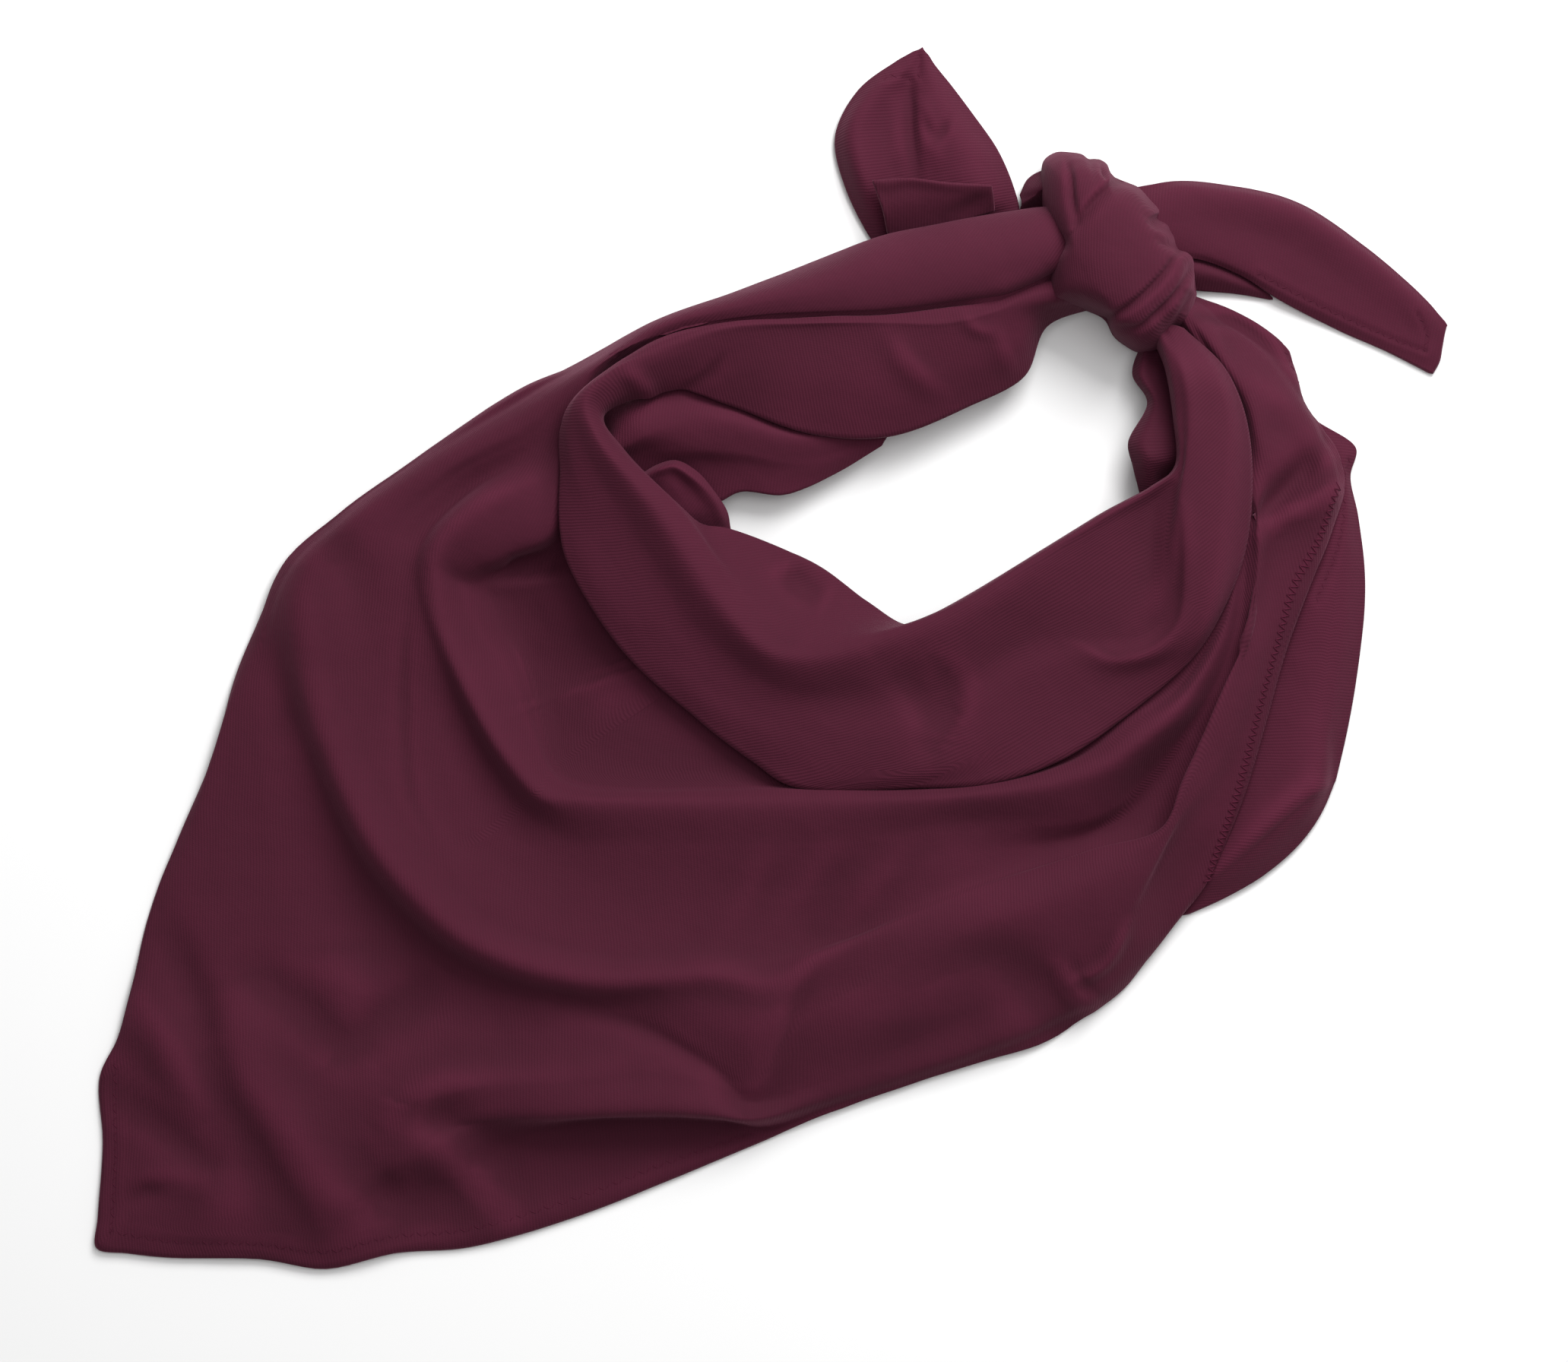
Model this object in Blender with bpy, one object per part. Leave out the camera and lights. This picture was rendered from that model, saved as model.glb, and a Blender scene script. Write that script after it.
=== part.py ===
"""A square bandana folded corner to corner and tied in a ring, laid flat on a surface.

The cloth lies in the ring's plan: x runs right, y runs away from the point, z is up, and the
surface is z = 0. Tables are in millimetres and the model is in metres. A fold's row holds
(station, x, y, height), and stations run along the cloth from one side of the knot, round the
ring, to the other. Heights are of the cloth's upper face.
"""

import bmesh
import bpy
import numpy as np

MM = 0.001
WALL = 1.8  # a double layer of cotton twill, with its loft
LYING = 1.8  # upper face of cloth that lies on the surface
LEAST_WALL = 0.7  # of cloth inside a tight fold
WALL_EASING_STEPS = 8
KNOT_GAP = 0.4  # clearance between the knot and the cloth that runs into it
CLOTH_COLOUR = (0.075, 0.015, 0.034, 1.0)
CLOTH_ROUGHNESS = 0.9

# The left arm is a roll: (station, crease x, y and height, outer x, y and height, crown height).
ARM_SECTIONS = (
    (0.0, 86.0, 107.2, 13.0, 87.0, 125.0, 9.0, 23.0),
    (0.25, 74.0, 104.6, 16.4, 74.0, 124.0, 12.0, 26.0),
    (0.5, 62.0, 100.2, 19.3, 61.0, 122.2, 13.0, 26.5),
    (0.75, 47.0, 97.0, 21.1, 46.0, 119.2, 13.0, 26.0),
    (1.0, 30.0, 94.9, 21.8, 30.0, 115.7, 10.5, 25.8),
    (1.3, 12.0, 94.1, 22.3, 12.0, 109.6, 2.4, 25.6),
    (1.6, -6.0, 93.2, 22.7, -8.0, 101.8, 4.0, 25.0),
    (2.0, -29.0, 88.5, 22.6, -32.8, 92.6, 12.0, 24.0),
)
ARM_LINES = 13
ARM_TUCK = 5.0  # the arm's hidden edge reaches this far under the neck band
ARM_DROP = 3.0  # and lies this much lower
ARM_LEAN = 1.4  # how far the roll's crown leans toward the crease

# The body, from the fold hidden under the neck band out to the edge that lies on the surface.
BODY = {
    "hidden edge": (
        (2.5, -46.5, 73.4, 12), (3.0, -50, 36, 12), (4.0, -42, 24, 12.4), (5.0, -31, 7, 11.6),
        (6.0, -20, -4, 11), (7.0, -5, -15, 11), (8.0, 12, -24, 11), (9.0, 70, -18, 11.4),
        (10.0, 103, -1, 11), (11.0, 117, 16, 11.4), (12.0, 120, 45, 11.4), (12.5, 116, 72, 8),
        (13.0, 108, 89.5, 3),
    ),
    "pocket floor": (
        (2.5, -47.6, 74.9, 17), (3.0, -57, 33.6, 9), (3.5, -71, 25.6, 5), (3.8, -76, 22.5, 6),
        (4.0, -77.4, 20, 6.4), (4.2, -76, 16.4, 5.6), (4.5, -72.4, 8, 4.6), (5.0, -66, -4, 4.8),
        (5.5, -63, -17, 7), (6.0, -58, -31, 9.6), (6.5, -50, -34.5, 10.6), (7.0, -38, -35.3, 11),
        (8.0, 12, -34.8, 11), (8.5, 50, -34, 11.4), (9.0, 80, -28.5, 11.4), (9.5, 97, -16, 11.6),
        (10.0, 110, -5, 11.8), (11.0, 121, 14, 12.6), (12.0, 124, 44, 12.6), (12.3, 121, 59, 11.4),
        (12.5, 118, 72, 9.4), (13.0, 108.6, 90.2, 6),
    ),
    "roll shoulder": (
        (2.5, -48.6, 76.4, 20.6), (3.0, -60, 35.4, 15), (3.5, -74, 28.2, 14),
        (3.8, -83, 25.2, 13.6), (4.0, -86.6, 21.6, 12), (4.2, -85.6, 16.6, 11.4),
        (4.5, -81.6, 8, 11), (5.0, -72, -7, 11.6), (5.5, -67, -20, 13), (6.0, -60, -33.6, 15),
        (6.5, -51, -37, 15.5), (7.0, -38, -37.3, 15), (8.0, 12, -37.2, 14.5),
        (8.5, 50, -36.2, 14.5), (9.0, 82, -31, 14.5), (9.5, 98, -20.5, 13.5), (10.0, 112, -8, 12),
        (11.0, 123, 12, 13), (12.0, 126, 43, 13.8), (12.3, 122.8, 59, 12.2),
        (12.5, 119.6, 72, 10.4), (13.0, 109.2, 91, 8),
    ),
    "roll": (
        (2.5, -49.2, 77.2, 21.8), (3.0, -60.6, 50, 17.6), (3.2, -67, 47, 18),
        (3.5, -79.6, 41.6, 18.4), (3.8, -89.6, 33, 17.6), (4.0, -92.8, 26, 17),
        (4.2, -92.4, 19, 16.6), (4.5, -91, 9, 16.6), (5.0, -82, -12, 18), (5.5, -73, -27, 18.5),
        (6.0, -62.6, -38, 18.5), (6.5, -51, -39.2, 18), (7.0, -38, -39.5, 17.5),
        (8.0, 12, -39.6, 17), (8.5, 50, -38.2, 17), (9.0, 84, -33, 17), (9.5, 101, -22.5, 16.5),
        (10.0, 114, -10, 15), (11.0, 125, 11, 14.6), (12.0, 127.5, 42, 14.2),
        (12.3, 124.4, 59, 12.6), (12.5, 121.2, 72, 11), (13.0, 109.8, 91.9, 9.6),
    ),
    "roll valley": (
        (2.5, -49.8, 78, 22.2), (3.0, -62.6, 58.2, 15.2), (3.5, -82.6, 46.2, 10.8),
        (4.0, -98, 28, 13.2), (4.4, -96.5, 11, 14.6), (5.0, -87.4, -13, 13.2),
        (5.5, -79, -29, 12.4), (6.0, -68, -43, 12.4), (6.5, -54, -51, 13), (7.0, -38, -51, 14.2),
        (8.0, 12, -51, 14.2), (8.5, 52, -46, 13.4), (9.0, 88, -43.5, 10.5), (9.5, 104, -32, 6.4),
        (10.0, 115, -18, 8.6), (11.0, 126.6, 5, 13), (12.0, 128.6, 41, 14.2),
        (12.3, 125.6, 58.8, 12.8), (12.5, 122.8, 72, 11.6), (13.0, 110.4, 92.9, 11.4),
    ),
    "apron": (
        (2.5, -50.3, 78.6, 21.6), (3.0, -65, 61.5, 16), (3.5, -87, 49.8, 12), (4.0, -107, 28, 12.6),
        (4.4, -108, 8, 13.4), (5.0, -98, -14.5, 12.6), (6.0, -78, -51, 11.8), (7.0, -42, -65, 12),
        (8.0, 12, -64, 11), (8.5, 50, -55, 12), (9.0, 87, -48.6, 6.4), (9.5, 105, -38, 4),
        (10.0, 116, -20.5, 7.5), (11.0, 127.6, 3.8, 13.2), (12.0, 129.6, 40.5, 14),
        (12.3, 126.6, 58.7, 12.8), (12.5, 124.2, 72, 12), (13.0, 111, 93.9, 13),
    ),
    "cowl rise": (
        (2.5, -50.8, 79.2, 20.4), (3.0, -66, 65, 17), (3.5, -90, 51.4, 13.2), (4.0, -118, 27, 12.6),
        (4.4, -123, 5, 13), (5.0, -113, -21, 14.4), (5.5, -102, -42.6, 15), (6.0, -91, -57, 15.2),
        (6.5, -74, -72.6, 15), (7.0, -46, -81, 13.6), (7.5, -17, -83, 12.4), (8.0, 12, -79.5, 10.6),
        (8.5, 50, -63.8, 12), (9.0, 87, -53.6, 8.4), (9.4, 108, -47.8, 6), (9.7, 114, -34.8, 7),
        (10.0, 120, -21.4, 9), (11.0, 128.6, 2.6, 14.6), (11.5, 131, 22, 15.2),
        (12.0, 131.6, 40, 15), (12.3, 127.8, 58.6, 12.8), (12.5, 125.6, 72, 12.4),
        (13.0, 111.6, 94.9, 15),
    ),
    "cowl": (
        (2.5, -51.3, 79.7, 18.4), (3.0, -67, 68, 16), (3.5, -93, 52.4, 12.8), (4.0, -126, 26.5, 12),
        (4.4, -130, 2, 13), (5.0, -121, -26, 16), (5.5, -111, -48, 17.4), (6.0, -99.4, -63, 17.8),
        (6.5, -81, -78.6, 17.6), (7.0, -51, -88, 16.2), (7.5, -18, -87.5, 14.8),
        (7.8, 0, -89, 14.4), (8.0, 12, -82.5, 14.6), (8.5, 50, -66.3, 14.4), (9.0, 87, -53.3, 13.2),
        (9.4, 106.6, -47, 17), (9.7, 112.6, -34, 17.4), (10.0, 118.8, -20.5, 17.4),
        (10.5, 125.5, -5, 18), (11.0, 130, 7, 18), (11.5, 133, 22, 17), (12.0, 133, 39.4, 16.6),
        (12.3, 130.4, 59, 13.2), (12.5, 127.4, 72, 13), (13.0, 112.2, 95.9, 15),
    ),
    "cowl foot": (
        (2.5, -51.7, 80.1, 15.6), (3.0, -67.5, 70.4, 13.4), (3.5, -95, 53, 11.4),
        (4.0, -129, 26.8, 9.6), (4.4, -138, 1, 8.5), (5.0, -126.6, -31, 10),
        (5.5, -116.6, -54, 9.4), (6.0, -105, -70, 9), (6.5, -86.4, -86, 9),
        (6.8, -70.4, -92.6, 9.4), (7.0, -54, -94.6, 11), (7.3, -37, -99, 10.4),
        (7.6, -19, -109.5, 9.6), (7.85, -6, -117.5, 8.8), (8.0, 7, -101, 10.4),
        (8.5, 50.6, -77, 16.6), (9.0, 85, -61.6, 17.4), (9.4, 105, -53, 17.4),
        (9.7, 113.5, -40, 17), (10.0, 122, -28, 16), (11.0, 134, 3, 15), (12.0, 137, 44, 14),
        (12.3, 133.4, 60, 16.4), (12.5, 130, 72, 16.4), (13.0, 112.7, 96.9, 14),
    ),
    "bib": (
        (2.5, -52.1, 80.5, 12.4), (3.0, -68, 72.3, 9.6), (3.5, -97, 53.5, 8.8),
        (4.0, -131, 27, 6.5), (4.4, -141.5, 0, 6.5), (5.0, -140, -38, 7.5), (5.5, -136, -75, 7.5),
        (6.0, -132, -108, 7.8), (6.5, -103, -121, 9.5), (6.8, -78, -117.5, 9.8),
        (7.0, -57, -117, 12), (7.3, -36, -114.5, 12), (7.6, -18, -117.5, 11), (7.85, -6, -122.5, 7),
        (8.0, 12, -117, 6.5), (8.5, 52, -99, 7.6), (9.0, 81, -87, 11.5), (9.4, 97, -75, 13),
        (9.7, 107, -58, 12.5), (10.0, 124, -34, 12.5), (11.0, 136.5, 2.6, 13), (12.0, 146, 47, 13),
        (12.3, 140.5, 64, 13), (12.5, 136, 76, 12.4), (13.0, 113.1, 97.9, 11.6),
    ),
    "lap edge": (
        (2.5, -52.5, 80.9, 9), (3.0, -68.5, 73.6, 9), (3.5, -98.4, 53.8, 6), (4.0, -132.3, 27.2, 5),
        (4.4, -144, -0.6, 5), (5.0, -152, -44, 5.5), (5.5, -160, -92, 6), (6.0, -160, -136, 5),
        (6.4, -122, -146, 6), (6.8, -84, -131, 9.6), (7.0, -57, -128.3, 11.4),
        (7.3, -35, -127.4, 12), (7.6, -18, -128.4, 11), (7.85, -5, -129.2, 9),
        (8.0, 15, -121.2, 5.5), (8.5, 54, -108.5, 6), (9.0, 87, -94.5, 7.5),
        (9.4, 102.5, -80.5, 7.5), (9.7, 113, -63, 8), (10.0, 126, -38.5, 10.5),
        (11.0, 139, 2.4, 11), (12.0, 153.5, 48, 13), (12.3, 146, 66, 8), (12.5, 141.6, 79, 7),
        (13.0, 113.4, 98.9, 8.4),
    ),
    "strip": (
        (2.5, -52.9, 81.3, 5), (3.0, -69, 74.6, 4.2), (3.5, -99.4, 54, 4), (4.0, -133.3, 27.6, 3.5),
        (4.4, -145.6, -1, 3.5), (5.0, -160, -47.5, 4.2), (5.5, -173, -97, 4),
        (5.8, -177.5, -132, 3), (6.0, -177, -154, 3), (6.4, -130, -158, 4), (6.8, -82, -142, 2.2),
        (7.0, -55, -131.6, 2), (7.3, -31, -130.2, 2), (7.6, -14, -130.6, 2), (7.85, -2, -131, 2),
        (8.0, 18, -123, 2.5), (8.5, 55.4, -111, 3), (9.0, 88.5, -97, 4), (9.4, 104.7, -82, 4),
        (9.7, 116.8, -64, 7), (10.0, 127.7, -40.5, 9.4), (11.0, 140.6, 2.2, 9.8),
        (12.0, 156, 47.6, 10.5), (12.3, 147.8, 66.2, 4.5), (12.5, 143.6, 79.7, 4),
        (13.0, 113.5, 99.9, 5),
    ),
    "edge": (
        (2.5, -53.2, 81.7, 1.8), (3.0, -69.5, 73.3, 1.8), (3.25, -84, 63.6, 1.8),
        (3.5, -100, 52.8, 1.8), (3.75, -117, 39.9, 1.8), (4.0, -131, 29.2, 1.8),
        (4.12, -135.3, 24.6, 1.8), (4.4, -147.3, -2.5, 1.8), (4.7, -153.8, -26.3, 2),
        (5.0, -163.7, -48.9, 2), (5.25, -171.7, -69.5, 2), (5.4, -177.8, -95.6, 2),
        (5.5, -180.9, -105.4, 2), (5.6, -185.5, -115, 2), (5.78, -184.7, -133.6, 1.8),
        (5.94, -186.1, -154, 1.8), (6.0, -186.4, -162.8, 1.8), (6.04, -178, -164.2, 1.8),
        (6.1, -165.8, -165.5, 1.8), (6.25, -142, -166.1, 1.8), (6.4, -123.6, -168.6, 1.8),
        (6.55, -105.1, -164.2, 1.8), (6.75, -83.5, -162.3, 1.8), (7.0, -53.2, -153.5, 1.8),
        (7.35, -28.7, -143.9, 1.8), (7.75, -4.5, -133.8, 1.8), (8.0, 19, -124.3, 1.8),
        (8.5, 56.5, -111.9, 1.8), (8.8, 76.8, -105.6, 1.8), (9.0, 89, -98, 1.8),
        (9.2, 97.3, -91.4, 1.8), (9.4, 105.7, -80.9, 1.8), (9.55, 113, -71.8, 4),
        (9.75, 119.5, -62.5, 6.4), (10.0, 128.6, -41.5, 8), (10.5, 136, -17, 8.4),
        (11.0, 141.4, 2, 8.4), (11.4, 148, 20, 8.6), (11.75, 154, 34, 8.8), (12.0, 157.2, 47, 8.8),
        (12.15, 155.4, 56.6, 6), (12.3, 148.6, 66.4, 2.5), (12.5, 144.6, 80, 1.8),
        (12.65, 141.4, 86.6, 1.8), (12.8, 134, 92, 1.8), (12.92, 123, 97, 1.8),
        (13.0, 113.5, 100.9, 1.8),
    ),
}
BODY_STATIONS = (
    0, 0.17, 0.33, 0.5, 0.75, 1, 1.25, 1.5, 1.75, 2, 2.25, 2.5, 2.75, 3, 3.25, 3.5, 3.75, 4, 4.12,
    4.25, 4.4, 4.7, 5, 5.2, 5.35, 5.5, 5.62, 5.78, 5.9, 5.96, 6, 6.04, 6.1, 6.25, 6.4, 6.55, 6.65, 6.75, 6.88, 7, 7.2, 7.4, 7.6, 7.8,
    8, 8.25, 8.5, 8.75, 9, 9.2, 9.4, 9.55, 9.75, 10, 10.33, 10.67, 11, 11.4, 11.75, 12, 12.15,
    12.3, 12.5, 12.7, 12.85, 13,
)
BODY_ACROSS = (1, 2, 2, 2, 2, 2, 2, 2, 3, 4, 3, 1)

# The neck band: the fold whose lip rings the hole, its front face and the roll up the right arm.
BAND = {
    "hole edge": (
        (0.0, 90, 96.5, 5), (0.4, 75.6, 91, 8), (0.7, 69.5, 77.5, 10), (1.0, 54, 69, 12),
        (1.4, 32, 60.8, 13.4), (1.7, 10, 61.6, 15), (2.0, -12, 69.3, 16.6), (2.4, -26, 73, 18.4),
        (3.0, -46, 66, 20), (3.4, -40.6, 57.2, 19.4), (4.0, -24.6, 40.8, 18),
        (4.2, -19.4, 36.6, 16.4), (4.4, -12, 35.4, 14.4), (5.0, 12, 25.4, 12.6),
        (5.4, 26, 15.4, 12), (5.8, 37, 8.9, 11), (6.0, 45, 12.4, 8), (6.5, 68, 25.8, 8),
        (7.0, 91, 39.8, 7), (7.3, 97.6, 43.4, 11), (7.6, 104, 47, 14.6), (8.0, 110, 52.4, 20.2),
        (9.0, 109.6, 66, 20.2), (9.5, 107.6, 79, 16), (10.0, 104.6, 87.4, 9),
    ),
    "inner face": (
        (0.0, 90, 97.4, 11), (0.4, 73.8, 94, 15), (0.7, 66, 85, 17.4), (1.0, 50, 78.5, 18.6),
        (1.4, 31, 75, 20), (1.7, 10, 76, 20.4), (2.0, -12, 79, 21.6), (2.4, -28, 77, 23),
        (3.0, -46.6, 66.6, 25), (3.4, -41, 57.2, 23.4), (4.0, -25, 40.8, 21.8),
        (4.4, -14.4, 28.6, 19.8), (5.0, 5.6, 14.4, 19.4), (5.4, 19, 10, 19), (5.8, 36.8, 9, 18),
        (6.0, 45, 12.2, 17), (6.5, 68, 25.7, 16), (7.0, 91, 39.7, 15), (7.6, 104, 46.9, 18),
        (8.0, 110.2, 52, 22.4), (9.0, 109.8, 66, 22.6), (9.5, 107.8, 79, 20),
        (10.0, 104.4, 88.6, 12),
    ),
    "lip": (
        (0.0, 90, 99.6, 17.4), (0.4, 71.6, 96.8, 20.2), (0.7, 60, 93, 22.2), (1.0, 47, 90, 23.4),
        (1.4, 30, 90, 24), (1.7, 10, 89.8, 24), (2.0, -12, 88, 25.6), (2.4, -31, 81.4, 27.4),
        (2.7, -41, 76, 28), (3.0, -48, 69, 27.6), (3.3, -44.6, 60, 27.2), (4.0, -26, 41, 25.8),
        (4.5, -11, 20, 25), (5.0, 3, 5.4, 24.8), (5.2, 9, 3, 25.8), (5.5, 21, 4.4, 25.6),
        (6.0, 45, 11.8, 25.6), (6.5, 68, 25, 25), (7.0, 91, 39, 24.5), (7.6, 104, 46.2, 22.5),
        (8.0, 110.4, 51.6, 24.6), (9.0, 110.4, 66, 25.4), (9.5, 108.4, 79, 24.4),
        (10.0, 104, 91, 15),
    ),
    "crown": (
        (0.0, 90, 102, 18.6), (0.4, 70.4, 98.8, 21), (0.7, 60, 94.4, 22.6), (1.0, 47, 91.4, 24),
        (1.4, 30, 91.6, 24.6), (1.7, 10, 91.3, 25), (2.0, -12.4, 90, 26.4), (2.4, -32, 83.3, 28),
        (2.7, -43.4, 78, 28.8), (3.0, -51, 70, 29.6), (3.3, -48.4, 60.6, 30),
        (4.0, -31.4, 39.5, 29.4), (4.5, -16.6, 17.4, 28.2), (5.0, -2, 1.8, 27.4),
        (5.2, 8, -0.6, 27.2), (5.5, 21, 1, 26.8), (6.0, 45, 9, 26.6), (6.5, 68, 22, 25.6),
        (7.0, 91, 35.6, 23.4), (7.6, 104.6, 42.6, 20), (8.0, 111.3, 49.6, 25), (9.0, 112, 66, 26.8),
        (9.5, 110, 79, 26.4), (10.0, 105, 91.5, 17),
    ),
    "groove": (
        (0.0, 90, 104, 17.4), (0.4, 69.6, 100.5, 20.2), (0.7, 60, 95.6, 22.2),
        (1.0, 47, 92.8, 23.7), (1.4, 30, 92.4, 24.2), (1.7, 10, 92, 24.6), (2.0, -13, 90.6, 26),
        (2.4, -33, 84.4, 27.4), (3.0, -54, 70, 27.6), (3.3, -52.6, 58.6, 26.6),
        (4.0, -39.2, 35.4, 24.6), (4.5, -24, 11, 23), (5.0, -4.6, -5.6, 21.8),
        (5.2, 8, -10.6, 21.2), (5.5, 20, -11, 20.6), (6.0, 44, -10, 20.2), (6.5, 70, 4, 18.8),
        (7.0, 91, 5.6, 18), (7.3, 99, 6, 18.4), (7.6, 105.6, 9.4, 19), (7.8, 109.6, 19, 20.4),
        (8.0, 111.8, 42, 25.4), (9.0, 114, 66, 27.8), (9.5, 112, 79, 27.4),
        (10.0, 106.5, 91.5, 16.6),
    ),
    "ridge": (
        (0.0, 90, 105, 16.4), (0.4, 69.2, 101.2, 19.7), (0.7, 59.8, 96.4, 22), (1.0, 47, 94, 23.4),
        (1.4, 30, 92.65, 24), (1.7, 10, 92.3, 24.3), (2.0, -13.2, 90.9, 25.8),
        (2.4, -33.4, 84.9, 27), (3.0, -55.2, 69.4, 25.4), (3.3, -55.4, 56, 24),
        (4.0, -45, 30, 21.6), (4.5, -30, 6, 20.2), (5.0, -10.4, -10.6, 19.4), (5.5, 21, -22, 18.8),
        (6.0, 48, -20, 18.8), (6.5, 72, -4, 18), (7.0, 91, 0.6, 18.6), (7.3, 99.6, 1, 19.6),
        (7.6, 108.4, 4.8, 20.6), (7.8, 113.4, 16, 22.4), (8.0, 114.8, 40, 26.4), (9.0, 118, 66, 28),
        (9.5, 115, 79, 28), (10.0, 108, 91.4, 17.6),
    ),
    "bulge": (
        (0.0, 90, 105.8, 15.6), (0.4, 69.1, 101.5, 19.2), (0.7, 59.7, 97, 21.6),
        (1.0, 47, 95, 23.1), (1.4, 30, 93, 23.8), (1.7, 10, 92.6, 23.9), (2.0, -13.3, 91.2, 25.2),
        (2.4, -33.7, 85.3, 26.4), (3.0, -56.2, 68.4, 23.4), (3.3, -57, 54, 21.4),
        (4.0, -51.6, 27, 19.2), (4.5, -36.4, 5, 18.2), (5.0, -16, -14, 17.8), (5.5, 20, -30, 17),
        (6.0, 50, -29, 17), (6.5, 74, -18, 16.2), (7.0, 97, -7, 16.5), (7.6, 113, 1, 18),
        (7.8, 119.4, 11, 21), (8.0, 123, 36, 25.6), (9.0, 125, 66, 26), (9.5, 120.5, 79, 26),
        (10.0, 111, 91, 16.8),
    ),
    "foot": (
        (0.0, 90, 106.4, 15), (0.4, 69, 101.7, 18.8), (0.7, 59.6, 97.6, 21.2),
        (1.0, 47, 95.6, 22.8), (1.4, 30, 93.6, 23.5), (1.7, 10, 92.8, 23.9),
        (2.0, -13.4, 91.5, 24.6), (2.4, -34, 85.8, 25.4), (3.0, -57, 66, 20.6),
        (3.3, -58.2, 50, 19.2), (3.7, -58.4, 36, 17.8), (4.0, -56, 25.5, 16.6),
        (4.5, -41, 1.8, 15.8), (5.0, -21, -16.6, 15.2), (5.3, -5, -28.8, 14.6),
        (5.5, 6, -35.6, 14.2), (6.0, 40, -35.8, 14.2), (6.3, 60, -33.8, 14), (6.7, 80, -26.5, 14),
        (7.0, 98, -14, 13.5), (7.6, 115, 0.6, 14.5), (7.8, 123.6, 12.6, 15.5), (8.0, 130.6, 33, 17),
        (9.0, 131, 62, 16.6), (9.5, 124.6, 79, 17), (10.0, 113, 90.4, 15),
    ),
}
BAND_STATIONS = (
    0, 0.2, 0.4, 0.55, 0.7, 0.85, 1, 1.2, 1.4, 1.7, 2, 2.2, 2.4, 2.6, 2.8, 3, 3.15, 3.3, 3.55, 3.8,
    4, 4.25, 4.5, 4.75, 5, 5.2, 5.4, 5.6, 5.8, 6, 6.25, 6.5, 6.75, 7, 7.3, 7.6, 7.8, 8, 8.33, 8.67,
    9, 9.25, 9.5, 9.75, 10,
)
BAND_ACROSS = (2, 2, 2, 2, 2, 2, 1)

# The inner roll lies in the ring at the foot of the neck band.
INNER_ROLL = {
    "back": (
        (0, -46.6, 58, 8), (0.3, -47, 66, 8.6), (0.6, -42, 72, 9.6), (1, -28, 78, 13),
        (2, -12, 75, 12), (3, 6, 68, 10.4), (4, 34, 65.4, 9),
    ),
    "rise": (
        (0, -44.4, 58.4, 17), (0.5, -38, 66, 18.4), (1, -25, 72, 15.8), (2, -12, 70, 14),
        (3, 6, 63.6, 12), (4, 33.2, 63.6, 9.4),
    ),
    "crest": (
        (0, -42.4, 57, 17), (0.5, -35, 61, 18.6), (1, -24.4, 65, 17.4), (2, -12, 65.4, 17),
        (3, 6, 60.6, 14.2), (4, 32.4, 62, 9.6),
    ),
    "crease": (
        (0, -42, 54.6, 13), (0.5, -34.4, 56.6, 13.8), (1, -22, 57, 14.6), (2, -9, 56.6, 14.2),
        (3, 7, 54, 11.8), (4, 31.6, 60.8, 9.5),
    ),
    "strip": (
        (0, -40, 51.4, 10), (0.5, -30, 52, 9.8), (1, -20, 53.4, 10.8), (2, -7, 52.8, 11.6),
        (3, 7.5, 51.4, 10.6), (4, 30.8, 59.6, 9.2),
    ),
    "hole edge": (
        (0, -36, 46, 5), (0.5, -26, 43, 5.4), (1, -16, 42.6, 7), (1.6, -9, 45.6, 8.6),
        (2.2, 2, 44.7, 8.8), (3, 9, 46.6, 8.4), (3.5, 18, 50.8, 7.6), (4, 30, 58.2, 8.8),
    ),
}

# The inner curl is the small loop where the hidden layer turns back on itself at the left.
INNER_CURL = {
    "outer foot": (
        (0, -36, 50.6, 11.5), (1, -31.8, 53, 12.3), (2, -26.6, 54.2, 12.9), (3, -20.8, 51.2, 12.5),
        (4, -15.6, 45.2, 10.2), (5, -12.4, 40, 7), (6, -11.6, 35, 4.4),
    ),
    "crest": (
        (0, -35, 49.6, 15.2), (1, -30.8, 51.6, 17), (2, -27, 52.4, 17), (3, -22.2, 49.6, 15.8),
        (4, -17, 44.6, 12.8), (5, -14.2, 39.4, 9), (6, -13.4, 35, 5.2),
    ),
    "brink": (
        (0, -34.6, 48, 14.6), (1, -30, 49.6, 15.4), (2, -27.4, 50, 15.2), (3, -24, 47.6, 13.9),
        (4, -19.4, 42.4, 11.8), (5, -16.6, 38.2, 8.6), (6, -16.6, 34, 5.2),
    ),
    "hollow": (
        (0, -35, 46.8, 13), (1, -30, 46.8, 14), (2, -27.6, 46.6, 14), (3, -25.4, 44.2, 13),
        (4, -22.2, 39.8, 11.2), (5, -19.4, 36.6, 8), (6, -18.4, 33.4, 5),
    ),
    "tucked": (
        (0, -37, 45, 11), (1, -32, 43.4, 12), (2, -30, 42, 12), (3, -28, 40.4, 11.6),
        (4, -25, 37, 10), (5, -22.6, 34.4, 7), (6, -20.4, 32, 4.6),
    ),
}

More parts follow.
